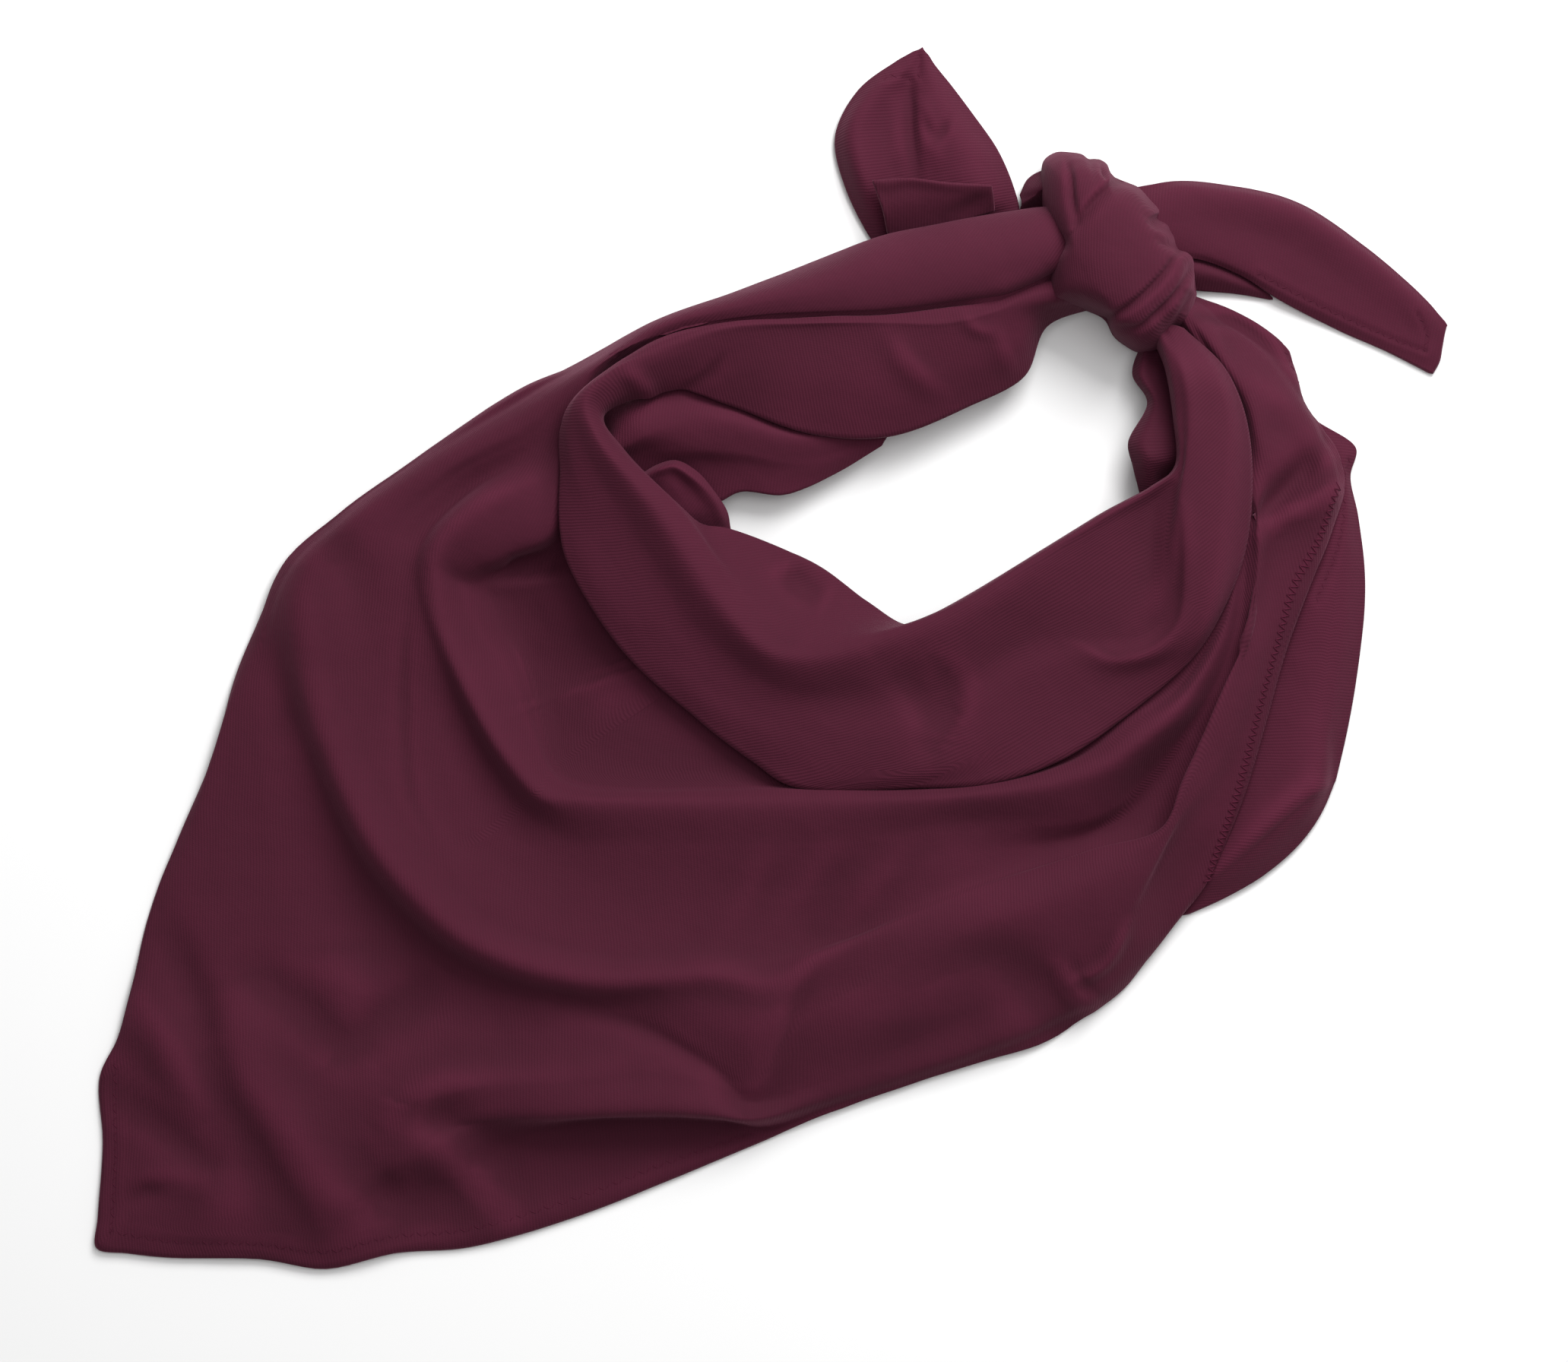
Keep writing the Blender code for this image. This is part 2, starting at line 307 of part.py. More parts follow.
# The flaps beside the right arm's roll, on the hole side.
INNER_FLAP = {
    "hole edge": (
        (0, 102.6, 89, 5), (1, 99, 78, 8), (2, 103, 70.2, 9.6), (3, 97.7, 59, 12),
        (4, 99, 52.5, 12), (5, 100.8, 46, 9), (6, 102.4, 41, 6),
    ),
    "fold": (
        (0, 104, 88.4, 8.6), (1, 101.5, 78, 12.4), (2, 105, 70, 14), (3, 101.5, 59, 17),
        (4, 102.8, 54.6, 17.6), (5, 104, 47.6, 12), (6, 105, 42, 7),
    ),
    "dip": (
        (0, 105, 88, 7.6), (1, 105, 78, 11.4), (2, 107.4, 69.5, 14), (3, 106, 59.4, 17.2),
        (4, 107, 54.2, 17), (5, 107, 49, 11.2), (6, 107.6, 43.4, 7),
    ),
    "tucked": (
        (0, 106.6, 88, 5), (1, 111.4, 78, 10), (2, 112.6, 69.5, 13), (3, 113, 60, 16.2),
        (4, 113, 55.6, 15.4), (5, 112, 50.4, 10.4), (6, 111, 45, 7),
    ),
}

# The layer that lies under the hemmed flank and shows beyond it at the right.
UNDER_LAYER = {
    "inner edge": (
        (0, 143.6, 61.6, 1.8), (0.3, 141, 55, 1.8), (1, 138, 38, 1.8), (2, 132, 15, 1.8),
        (3, 124, -8, 1.8), (4, 115, -32, 1.8), (5, 108, -60, 1.8),
    ),
    "bed": (
        (0, 145.8, 63.4, 2), (0.3, 147.6, 55, 3), (1, 146, 40, 3.5), (2, 141, 15, 3.5),
        (3, 133, -12, 3.5), (4, 124, -38, 2.6), (4.5, 118, -52, 2), (5, 110.5, -62, 1.8),
    ),
    "crown": (
        (0, 147.4, 64.8, 2), (0.3, 155.6, 56, 4.4), (1, 156.5, 40, 6.5), (2, 155, 16, 7),
        (3, 151, -12, 7.4), (3.5, 149, -36, 9.4), (4, 137, -46.6, 9.6), (4.5, 125.4, -57.4, 7),
        (5, 112, -66, 1.8),
    ),
    "edge": (
        (0, 148.6, 66, 1.8), (0.3, 161, 57.8, 1.8), (0.5, 159.7, 50, 1.8), (1, 161.9, 38.9, 1.8),
        (1.6, 163.8, 20.4, 1.8), (2.2, 161.9, -1.5, 1.8), (3, 157, -28, 1.8),
        (3.5, 152.6, -41.4, 1.8), (4, 145.6, -51.5, 1.8), (4.3, 135.8, -60, 1.8),
        (4.7, 124.6, -66.4, 1.8), (5, 113.4, -71, 1.8),
    ),
}

# The two ends that come out of the knot.
LEFT_TAIL = {
    "left edge": (
        (0, 33, 111, 1.8), (1, 28, 114.5, 1.8), (2, 19.3, 131.5, 2), (3, 17.3, 144, 2),
        (4, 23.5, 156.4, 2), (5, 34, 164.4, 2), (6, 38.8, 167.2, 2),
    ),
    "left fold": (
        (0, 37, 113, 2.6), (1, 32, 117.5, 4.5), (2, 24.5, 133, 9), (3, 22.5, 146, 8),
        (4, 28, 155.4, 6), (5, 36, 162, 4), (6, 40, 167.6, 2.2),
    ),
    "hollow": (
        (0, 46, 116, 2.6), (1, 42, 120.5, 4.5), (2, 34, 135, 5), (3, 33.4, 147, 4),
        (4, 35.5, 154.6, 3.6), (5, 39, 161, 3), (6, 41.2, 168, 2.3),
    ),
    "right fold": (
        (0, 58, 120, 3), (1, 58, 125, 8), (2, 54.5, 138, 8), (3, 49.5, 146.5, 7),
        (4, 45.5, 155, 5.5), (5, 43, 161.5, 4), (6, 42.3, 167, 2.2),
    ),
    "right edge": (
        (0, 68, 122, 3), (1, 67.3, 127.4, 2.4), (2, 62.6, 139.4, 2), (3, 55, 150.4, 2),
        (4, 49.3, 158, 2), (5, 44.6, 163.8, 2), (6, 43.2, 166, 2),
    ),
}
LEFT_ROOT = {
    "lower edge": (
        (0, 80, 121.4, 2.6), (1, 75, 120.8, 2.8), (2, 71.6, 120.4, 2.8), (3, 68.5, 120.2, 2.6),
    ),
    "foot": ((0, 80.4, 125.2, 6), (1, 75, 125, 5), (2, 71.6, 124.2, 4.2), (3, 68.6, 123, 3.2)),
    "crown": ((0, 81, 129.6, 15), (1, 75, 129, 13), (2, 71.6, 127, 9.6), (3, 68.5, 125.2, 5)),
    "upper edge": ((0, 81, 135, 6), (1, 74.8, 134.4, 5), (2, 70.4, 132, 3.6), (3, 68.1, 127.6, 3)),
}
LEFT_POCKET = {
    "foot": ((0, 32, 116, 6.4), (1, 41, 117.4, 7.8), (2, 51, 119.6, 8.2), (3, 61, 122.6, 8.2)),
    "face": (
        (0, 30.4, 123.4, 11.4), (1, 39.6, 125.6, 12.6), (2, 49.6, 126.2, 13),
        (3, 60.4, 127, 12.2),
    ),
    "crest": (
        (0, 27.6, 130.8, 12.4), (1, 37.6, 131.3, 13.8), (2, 48, 130.2, 14.4), (3, 60, 129.4, 13.2),
    ),
}
RIGHT_TAIL = {
    "upper edge": (
        (0, 99.6, 129.2, 8.6), (1, 111, 131.6, 5), (2, 122, 131.2, 3), (3, 144, 126.2, 1.8),
        (4, 164, 113.6, 1.8), (5, 180.4, 98.8, 1.8), (6, 185.9, 92, 1.8),
    ),
    "upper fold": (
        (0, 101.5, 122, 11.4), (1, 111.6, 129, 9.4), (2, 122.6, 128.4, 8.2), (3, 143.4, 123.6, 7),
        (4, 162.6, 111.4, 5.8), (5, 179, 97, 4), (6, 185.4, 89.6, 2),
    ),
    "middle": (
        (0, 102, 117, 12), (1, 114, 119, 9.8), (2, 126, 118, 7.8), (3, 143.6, 112, 6),
        (4, 159, 102, 4.8), (5, 175.6, 91, 3.2), (6, 184.6, 86, 2),
    ),
    "lower fold": (
        (0, 102, 111.6, 10.4), (1, 115, 112, 8.4), (2, 128, 107.6, 6.4), (3, 142, 100.4, 4.6),
        (4, 156, 93.6, 3.4), (5, 173, 86, 2.6), (6, 183.8, 82, 2),
    ),
    "lower edge": (
        (0, 102, 108.6, 9), (1, 115.4, 110, 7), (2, 128, 105.8, 4.8), (3, 140, 98.6, 3.4),
        (4, 154, 91.4, 1.8), (5, 171, 84, 1.8), (6, 182, 78.7, 1.8),
    ),
}
TAIL_LAYER = {
    "upper edge": (
        (0, 109, 113, 2.6), (1, 117, 112, 2.2), (2, 128, 107.6, 1.8), (3, 137, 101.4, 1.5),
    ),
    "middle": ((0, 109, 108, 6), (1, 117, 108, 5.2), (2, 128, 104.4, 3), (3, 137.4, 100.2, 1.8)),
    "lower edge": (
        (0, 109, 102, 2.6), (1, 118, 101.2, 2.2), (2, 128, 100.4, 1.8), (3, 137.8, 98.8, 1.5),
    ),
}

# Knot wraps: (x, y, height of the strand's centre, half width, half thickness) along each strand.
KNOT_CENTRE = (93.0, 110.0)
KNOT_REACH = (18.0, 18.5, 20.5, 17.0, 15.5, 18.5, 17.5, 17.5)  # every 45 degrees from +x
KNOT_LEVELS = (
    # height, share of the reach
    (0.0, 0.74), (5.0, 0.86), (12.0, 0.95), (18.0, 1.0), (24.0, 0.94), (29.0, 0.77), (32.5, 0.5), (34.0, 0.26),
)
KNOT_STRANDS = {
    "upper wrap left": (
        (78.6, 134.6, 6, 4.2, 4.6), (78, 132.6, 16, 4.2, 4.6), (77.9, 127, 22.5, 4.3, 4.4),
        (79, 120.5, 25, 4, 4), (81.4, 114.6, 25, 3, 3),
    ),
    "upper wrap right": (
        (86.6, 134, 7, 5, 4.6), (86.4, 131.6, 18, 5, 4.6), (86.2, 126.6, 25.4, 4.8, 4.2),
        (85, 121.6, 28.4, 3.4, 3.6), (83.6, 117.6, 29, 2, 2.6),
    ),
    "lower wrap inner": (
        (113.4, 110, 13, 3, 4), (109, 101.6, 21, 3.3, 4), (102.4, 95, 20.5, 3.3, 3.8),
        (97.5, 92, 15.5, 3.1, 3.8), (93.4, 92, 8, 3, 4),
    ),
    "lower wrap outer": (
        (115, 105, 8, 3, 3.4), (112.4, 97.4, 14.5, 3.6, 4), (107.4, 91, 15.5, 3.8, 4),
        (102.4, 88, 12, 3.8, 4), (98.4, 88.6, 6.5, 3.4, 3.8),
    ),
}

# Soft folds laid over the body: half width, height (a valley's is negative), then places along it.
SOFT_FOLDS = {
    "long ridge": (9.0, 3.8, (-150, -97), (-143, -118), (-135, -130), (-128, -142), (-114, -160)),
    "valley beside it": (6.0, -1.0, (-155, -100), (-148, -116), (-137, -132), (-125, -155)),
    "left valley": (6.0, -2.2, (-168, -72), (-160, -90), (-155, -105)),
    "left ridge": (5.0, 2.0, (-175, -95), (-160, -120)),
    "corner valley": (5.0, -1.5, (-182, -120), (-170, -128), (-155, -139)),
    "arrow valley left": (7.0, -2.0, (-148, -85), (-130, -97), (-118, -105)),
    "arrow valley right": (7.0, -2.0, (-118, -105), (-100, -95), (-93, -87)),
    "arrow lobe": (9.0, 1.8, (-118, -82), (-118, -95)),
    "low dent": (6.5, -2.2, (-108, -146), (-107, -148)),
    "lower ridge": (7.0, 3.0, (-102, -125), (-96, -121), (-84, -118.4), (-60, -117.5), (-38, -113)),
    "deep valley": (7.0, -3.0, (-95, -126), (-88, -128.6), (-75, -130), (-60, -128)),
    "lower lobe": (6.5, 2.6, (-93, -136), (-85, -143), (-75, -152)),
}


def cloth_material(name, shade):
    """Matt cotton, a shade lighter or darker for each stretch of the cloth."""
    material = bpy.data.materials.new(name)
    material.use_nodes = True
    shader = material.node_tree.nodes["Principled BSDF"]
    colour = tuple(channel * shade for channel in CLOTH_COLOUR[:3]) + (1.0,)
    shader.inputs["Base Color"].default_value = colour
    shader.inputs["Roughness"].default_value = CLOTH_ROUGHNESS
    shader.inputs["Metallic"].default_value = 0.0
    material.diffuse_color = colour
    return material


def along(row, stations):
    """Points of one fold at the given stations, on a centripetal spline through its row."""
    row = np.array(row, float)
    places = row[:, 1:]
    steps = np.sqrt(np.linalg.norm(np.diff(places, axis=0), axis=1)) + 1e-6
    knots = np.concatenate([[0.0], np.cumsum(steps)])
    return spline(places, knots, np.interp(stations, row[:, 0], np.arange(len(row))))


def spline(places, knots, at):
    """Cubic through the places, with at given in rows and fractions of a row."""
    slopes = np.diff(places, axis=0) / np.diff(knots)[:, None]
    tangents = np.empty_like(places)
    tangents[0] = slopes[0]
    tangents[-1] = slopes[-1]
    before = np.diff(knots)[:-1, None]
    after = np.diff(knots)[1:, None]
    tangents[1:-1] = (slopes[:-1] * after + slopes[1:] * before) / (before + after)
    first = np.clip(np.floor(at).astype(int), 0, len(places) - 2)
    t = (at - first)[:, None]
    span = (knots[first + 1] - knots[first])[:, None]
    start = (1 + 2 * t) * (1 - t) ** 2 * places[first] + t * (1 - t) ** 2 * span * tangents[first]
    end = t**2 * (3 - 2 * t) * places[first + 1] + t**2 * (t - 1) * span * tangents[first + 1]
    return start + end


def across(lines, counts):
    """A grid of points: each column of folds joined by a spline with so many steps a gap."""
    at = np.concatenate([i + np.arange(n) / n for i, n in enumerate(counts)] + [[len(counts)]])
    columns = []
    for places in np.swapaxes(np.array(lines), 0, 1):
        steps = np.sqrt(np.linalg.norm(np.diff(places, axis=0), axis=1)) + 1e-6
        knots = np.concatenate([[0.0], np.cumsum(steps)])
        columns.append(spline(places, knots, at))
    return np.array(columns)


def arch(crease, tuck, outer, base, height, count):
    """Points over a roll from its crease, steep at first, to its lower outer edge."""
    angles = np.linspace(0, np.pi, count)
    reach = ((1 - np.cos(angles))[:, None] / 2) ** ARM_LEAN
    plan = np.array(crease) * (1 - reach) + np.array(outer) * reach
    feet = tuck + (base - tuck) * reach[:, 0]
    points = np.column_stack([plan, feet + (height - feet) * np.sin(angles)])
    points[0, 1] -= ARM_TUCK
    points[0, 2] = max(points[0, 2] - ARM_DROP, LYING)
    return points


def folds_of_body():
    """The body's folds, with the left arm's half-round sections put before each row."""
    arches = [
        (station, arch((ax, ay), tuck, (bx, by), base, height, ARM_LINES))
        for station, ax, ay, tuck, bx, by, base, height in ARM_SECTIONS
    ]
    rows = []
    for number, row in enumerate(BODY.values()):
        arm = [(station, *points[number]) for station, points in arches]
        rows.append(arm + list(row))
    return rows


def raised(grid):
    """The body's grid with its soft folds added, each a rounded ridge or trough on its own line."""
    for half_width, height, *places in SOFT_FOLDS.values():
        away = np.full(grid.shape[:2], np.inf)
        for start, end in zip(places, places[1:]):
            way = np.subtract(end, start)
            reach = grid[..., :2] - start
            share = np.clip(reach @ way / (way @ way), 0.0, 1.0)
            away = np.minimum(away, np.linalg.norm(reach - share[..., None] * way, axis=-1))
        grid[..., 2] += height * np.exp(-((away / half_width) ** 2))
    grid[..., 2] = np.maximum(grid[..., 2], LYING)
    return grid


def face_normals(grid):
    """Unit normals of a grid of points, upward where the cloth lies open."""
    by_column = np.gradient(grid, axis=0)
    by_row = np.gradient(grid, axis=1)
    normals = np.cross(by_column, by_row)
    normals /= np.linalg.norm(normals, axis=2, keepdims=True) + 1e-12
    if normals[..., 2].sum() < 0:
        normals = -normals
    return normals


def cell_normals(grid):
    """Normals of a grid's cells, one for each, by their diagonals."""
    return np.cross(grid[1:, 1:] - grid[:-1, :-1], grid[:-1, 1:] - grid[1:, :-1])


def wall_points(grid, wall):
    """The cloth's lower face: a wall below the upper one, less inside tight folds, and never under z = 0."""
    normals = face_normals(grid)
    depth = np.full(grid.shape[:2], wall)
    above = cell_normals(grid)
    for _ in range(WALL_EASING_STEPS):
        lower = grid - normals * depth[..., None]
        lower[..., 2] = np.maximum(lower[..., 2], 0.0)
        turned = (cell_normals(lower) * above).sum(axis=2) <= 0.1 * (above**2).sum(axis=2)
        if not turned.any():
            break
        eased = np.ones(grid.shape[:2], bool)
        eased[:-1, :-1] &= ~turned
        eased[1:, :-1] &= ~turned
        eased[:-1, 1:] &= ~turned
        eased[1:, 1:] &= ~turned
        depth = np.where(eased, depth, np.maximum(depth * 0.85, LEAST_WALL))
    return lower


def grid_faces(columns, rows, first, turned):
    """Quads of a grid of points numbered column by column."""
    faces = []
    for i in range(columns - 1):
        for j in range(rows - 1):
            corner = first + i * rows + j
            quad = (corner, corner + rows, corner + rows + 1, corner + 1)
            faces.append(quad[::-1] if turned else quad)
    return faces


def rim_numbers(columns, rows):
    """Point numbers round the border of a grid, in order."""
    border = [i * rows for i in range(columns)]
    border += [(columns - 1) * rows + j for j in range(1, rows)]
    border += [i * rows + rows - 1 for i in range(columns - 2, -1, -1)]
    border += list(range(rows - 2, 0, -1))
    return border


def cloth_wall(name, grid, collection, material, wall=WALL):
    """One stretch of cloth as a closed wall: upper face, lower face and a rim."""
    columns, rows = grid.shape[:2]
    lower = wall_points(grid, wall)
    points = np.concatenate([grid.reshape(-1, 3), lower.reshape(-1, 3)])
    count = columns * rows
    faces = grid_faces(columns, rows, 0, False) + grid_faces(columns, rows, count, True)
    border = rim_numbers(columns, rows)
    for a, b in zip(border, border[1:] + border[:1]):
        faces.append((b, a, a + count, b + count))
    return solid(name, points, faces, collection, material)


def solid(name, points, faces, collection, material):
    """A smooth-shaded mesh object from points in millimetres."""
    mesh = bpy.data.meshes.new(name)
    mesh.from_pydata([tuple(p) for p in np.asarray(points) * MM], [], faces)
    mesh.validate()
    work = bmesh.new()
    work.from_mesh(mesh)
    bmesh.ops.triangulate(work, faces=work.faces)
    bmesh.ops.recalc_face_normals(work, faces=work.faces)
    work.to_mesh(mesh)
    work.free()
    mesh.shade_smooth()
    mesh.set_sharp_from_angle(angle=0.9)
    part = bpy.data.objects.new(name, mesh)
    part.data.materials.append(material)
    collection.objects.link(part)
    return part


def lofted(folds, stations, counts):
    """The grid of a stretch given by its table of folds."""
    lines = [along(row, np.array(stations, float)) for row in folds]
    return across(lines, counts)


def ring_points(centre, height, share, count, spread):
    """One level ring of the knot, rounded through its reach in eight directions."""
    reaches = np.array(KNOT_REACH * 3)[:, None]
    at = np.arange(count) * 8 / count + 8
    reach = spline(reaches, np.arange(24.0), at)[:, 0] * share + spread
    angles = np.arange(count) * 2 * np.pi / count
    x = centre[0] + reach * np.cos(angles)
    y = centre[1] + reach * np.sin(angles)
    return [(*plan, height) for plan in zip(x, y)]


def closed_stack(rings):
    """Faces of a stack of equal rings with flat ends."""
    count = len(rings[0])
    faces = [tuple(range(count))[::-1]]
    for level in range(len(rings) - 1):
        for k in range(count):
            a = level * count + k
            b = level * count + (k + 1) % count
            faces.append((a, b, b + count, a + count))
    last = (len(rings) - 1) * count
    faces.append(tuple(range(last, last + count)))
    return faces


def knot_core(name, collection, material, spread):
    """The knot's rounded heart, which the wraps cross."""
    rings = []
    for height, share in KNOT_LEVELS:
        lifted = height + spread if height > 0 else height
        rings.append(ring_points(KNOT_CENTRE, lifted, share, 32, spread))
    points = [p for ring in rings for p in ring]
    return solid(name, points, closed_stack(rings), collection, material)


def strand(name, row, collection, material, spread):
    """One wrap of the knot, a flattened strand along its own line."""
    row = np.array(row, float)
    at = np.linspace(0, len(row) - 1, 10)
    steps = np.linalg.norm(np.diff(row[:, :3], axis=0), axis=1)
    knots = np.concatenate([[0.0], np.cumsum(np.sqrt(steps))])
    path = spline(row, knots, at)
    ways = np.gradient(path[:, :3], axis=0)
    ways /= np.linalg.norm(ways, axis=1, keepdims=True)
    centre = np.array([*KNOT_CENTRE, 8.0])
    rings = []
    for place, way in zip(path, ways):
        out = place[:3] - centre
        out -= way * out.dot(way)
        out /= np.linalg.norm(out)
        side = np.cross(way, out)
        angles = np.arange(12) * 2 * np.pi / 12
        wide = (place[3] + spread) * np.cos(angles)[:, None] * side
        thick = (place[4] + spread) * np.sin(angles)[:, None] * out
        ring = place[:3] + wide + thick
        ring[:, 2] = np.maximum(ring[:, 2], 0.2)
        rings.append([tuple(p) for p in ring])
    points = [p for ring in rings for p in ring]
    return solid(name, points, closed_stack(rings), collection, material)


def boolean(part, other, operation):
    """Joins or cuts with another body, kept as a live modifier."""
    modifier = part.modifiers.new(other.name, "BOOLEAN")
    modifier.operation = operation
    modifier.solver = "EXACT"
    modifier.use_self = True
    modifier.object = other


def make_helper(part):
    """A helper body is hidden from the render and drawn as wire."""
    part.hide_render = True
    part.display_type = "WIRE"


def knot_body(name, collection, helpers, material, spread):
    """The knot's heart joined with its four wraps."""
    core = knot_core(name, collection, material, spread)
    for label, row in KNOT_STRANDS.items():
        wrap = strand(f"{name} {label}", row, helpers, material, spread)
        make_helper(wrap)
        boolean(core, wrap, "UNION")
    return core


def clear_scene():
    """Leaves no object from the startup scene."""
    for part in list(bpy.data.objects):
        bpy.data.objects.remove(part, do_unlink=True)


def new_collection(name):
    collection = bpy.data.collections.new(name)
    bpy.context.scene.collection.children.link(collection)
    return collection


def main():
    clear_scene()
    cloth = new_collection("bandana")
    helpers = new_collection("bandana helpers")
    helpers.hide_render = True
    even = np.linspace
    body = raised(lofted(folds_of_body(), BODY_STATIONS, BODY_ACROSS))
    body_part = cloth_wall("body", body, cloth, cloth_material("body cloth", 1.0))
    band = lofted(BAND.values(), BAND_STATIONS, BAND_ACROSS)
    band_part = cloth_wall("neck_band", band, cloth, cloth_material("neck band cloth", 1.04))
    roll = lofted(INNER_ROLL.values(), even(0, 4, 21), (2, 2, 2, 2, 2))
    cloth_wall("inner_roll", roll, cloth, cloth_material("inner roll cloth", 0.96), 1.4)
    curl = lofted(INNER_CURL.values(), even(0, 6, 17), (2, 2, 1, 1))
    cloth_wall("inner_curl", curl, cloth, cloth_material("inner curl cloth", 1.1), 1.2)
    flap = lofted(INNER_FLAP.values(), even(0, 6, 17), (1, 2, 1))
    flap_part = cloth_wall("inner_flap", flap, cloth, cloth_material("inner flap cloth", 0.92), 1.4)
    under_stations = (0, 0.1, 0.2, 0.3, 0.4, 0.5, *even(0.75, 4.25, 15), 4.5, 4.75, 5)
    under = lofted(UNDER_LAYER.values(), under_stations, (2, 2, 3))
    cloth_wall("under_layer", under, cloth, cloth_material("under layer cloth", 1.06))
    left = lofted(LEFT_TAIL.values(), even(0, 6, 19), (2, 3, 3, 2))
    cloth_wall("left_tail", left, cloth, cloth_material("left tail cloth", 1.02))
    root = lofted(LEFT_ROOT.values(), even(0, 3, 8), (1, 3, 3))
    root_part = cloth_wall("left_tail_root", root, cloth, cloth_material("left tail root cloth", 0.97), 1.4)
    pocket = lofted(LEFT_POCKET.values(), even(0, 3, 10), (2, 2))
    cloth_wall("left_tail_front", pocket, cloth, cloth_material("left tail front cloth", 0.94), 1.4)
    right = lofted(RIGHT_TAIL.values(), even(0, 6, 21), (2, 2, 2, 2))
    right_part = cloth_wall("right_tail", right, cloth, cloth_material("right tail cloth", 1.03))
    layer = lofted(TAIL_LAYER.values(), even(0, 3, 8), (2, 2))
    layer_part = cloth_wall("right_tail_layer", layer, cloth, cloth_material("tail layer cloth", 0.9), 1.4)
    knot_body("knot", cloth, helpers, cloth_material("knot cloth", 0.98), 0.0)
    clearance = knot_body("knot clearance", helpers, helpers, cloth_material("clearance", 0.5), KNOT_GAP)
    make_helper(clearance)
    for part in (body_part, band_part, flap_part, root_part, right_part, layer_part):
        boolean(part, clearance, "DIFFERENCE")


main()
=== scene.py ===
import math

import bmesh
import bpy
import numpy as np
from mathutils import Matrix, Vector, noise
from mathutils.bvhtree import BVHTree


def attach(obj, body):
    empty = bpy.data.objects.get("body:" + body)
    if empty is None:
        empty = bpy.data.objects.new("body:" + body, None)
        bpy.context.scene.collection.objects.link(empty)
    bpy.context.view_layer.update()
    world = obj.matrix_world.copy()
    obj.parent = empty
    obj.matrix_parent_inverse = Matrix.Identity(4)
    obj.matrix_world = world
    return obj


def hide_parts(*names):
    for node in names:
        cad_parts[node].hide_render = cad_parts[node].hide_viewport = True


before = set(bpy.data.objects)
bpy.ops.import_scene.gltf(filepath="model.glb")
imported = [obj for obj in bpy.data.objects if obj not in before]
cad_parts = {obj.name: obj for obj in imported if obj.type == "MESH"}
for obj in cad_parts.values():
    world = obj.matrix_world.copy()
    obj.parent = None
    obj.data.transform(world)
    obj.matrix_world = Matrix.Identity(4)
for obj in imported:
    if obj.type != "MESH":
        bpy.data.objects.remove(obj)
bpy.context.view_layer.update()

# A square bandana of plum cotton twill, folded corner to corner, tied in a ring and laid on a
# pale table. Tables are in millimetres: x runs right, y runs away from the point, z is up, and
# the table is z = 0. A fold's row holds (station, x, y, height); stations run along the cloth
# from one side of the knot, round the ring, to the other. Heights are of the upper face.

MM = 0.001
WALL = 1.5  # a double layer of cotton twill
LYING = 1.8  # upper face of cloth that lies on the table
LEAST_WALL = 0.5  # of cloth inside a tight fold
WALL_EASING_STEPS = 8
WALL_EASING = 0.85  # share of its wall that too tight a place keeps in each step
LEAST_CELL = 0.1  # share of its area that a cell of the lower face keeps at least
ALONG = 6  # fine steps between two stations, which show the folds laid in
ACROSS = 6  # fine steps between two lines across the cloth
UNDER = 2  # fine steps to one step of the lower face
RIM_REACH = 0.4  # how far the rounded rim stands out, in walls
# How much lighter the rounded rim is coloured, on the same scale as the crests.
RIM_LIGHTENING = 0.5
HOLLOW_PAINTED_SHADE = -0.6  # painted shade in a hollow: the least the mask goes
CREST_REACH = 2  # fine steps over which a crest stands out
CREST_BULGE = 0.30  # mm by which a fully lightened crest does
FLATTENING_STEPS = 900
FLATTENING_GLIDE = 0.9  # share of its last step that a point keeps in the next
FOLD_STEPS = 4  # straight steps between two places on a fold
FOLD_REACH = 3.0  # widths from its line at which a fold has faded out
SLACK_BUMPS = ((42.0, 1.0), (17.0, 0.3), (6.0, 0.1))  # size in mm, share of the slack
SEED_STEP = 7.3  # from one stretch's slack to the next one's
TROUGH_DEPTH = 0.3  # how far a trough sinks in cloth that lies on the table
HEM_DEPTH = 0.5  # how far a hem line does

# The camera looks straight down through a long lens.
PHOTO_WIDTH = 433.2  # mm of the table that the photograph takes in
PHOTO_CENTRE = (3.15, -6.5)
LENS = 200.0
SENSOR = 36.0

# Colours are linear.
PLUM = (0.066, 0.0090, 0.0230)
# Thread: the cloth's colour a touch lighter, as painted light against the stitches' own shadows.
THREAD_WITH_PAINTED_LIGHT = (0.068, 0.0094, 0.0240)
WALE = 0.83  # mm from one twill line to the next
FLOAT = 0.62  # mm from one float to the next along a twill line
PALE_TABLE = (0.93, 0.93, 0.93)

# The left arm is a roll: (station, crease x, y and height, outer x, y and height, crown height).
ARM_SECTIONS = (
    (0.0, 86.0, 107.2, 13.0, 87.0, 125.0, 9.0, 23.0),
    (0.25, 74.0, 104.6, 16.4, 74.0, 124.0, 12.0, 26.0),
    (0.5, 62.0, 100.2, 19.3, 61.0, 122.2, 13.0, 26.5),
    (0.75, 47.0, 97.0, 21.1, 46.0, 119.2, 13.0, 26.0),
    (1.0, 30.0, 94.9, 21.8, 30.0, 115.7, 10.5, 25.8),
    (1.3, 12.0, 94.1, 22.3, 12.0, 109.6, 2.4, 25.6),
    (1.6, -6.0, 93.2, 22.7, -8.0, 101.8, 4.0, 25.0),
    (2.0, -29.0, 88.5, 22.6, -32.8, 92.6, 12.0, 24.0),
)
ARM_LINES = 13
ARM_TUCK = 5.0  # the arm's hidden edge reaches this far under the neck band
ARM_DROP = 3.0  # and lies this much lower
ARM_LEAN = 1.4  # how far the roll's crown leans toward the crease

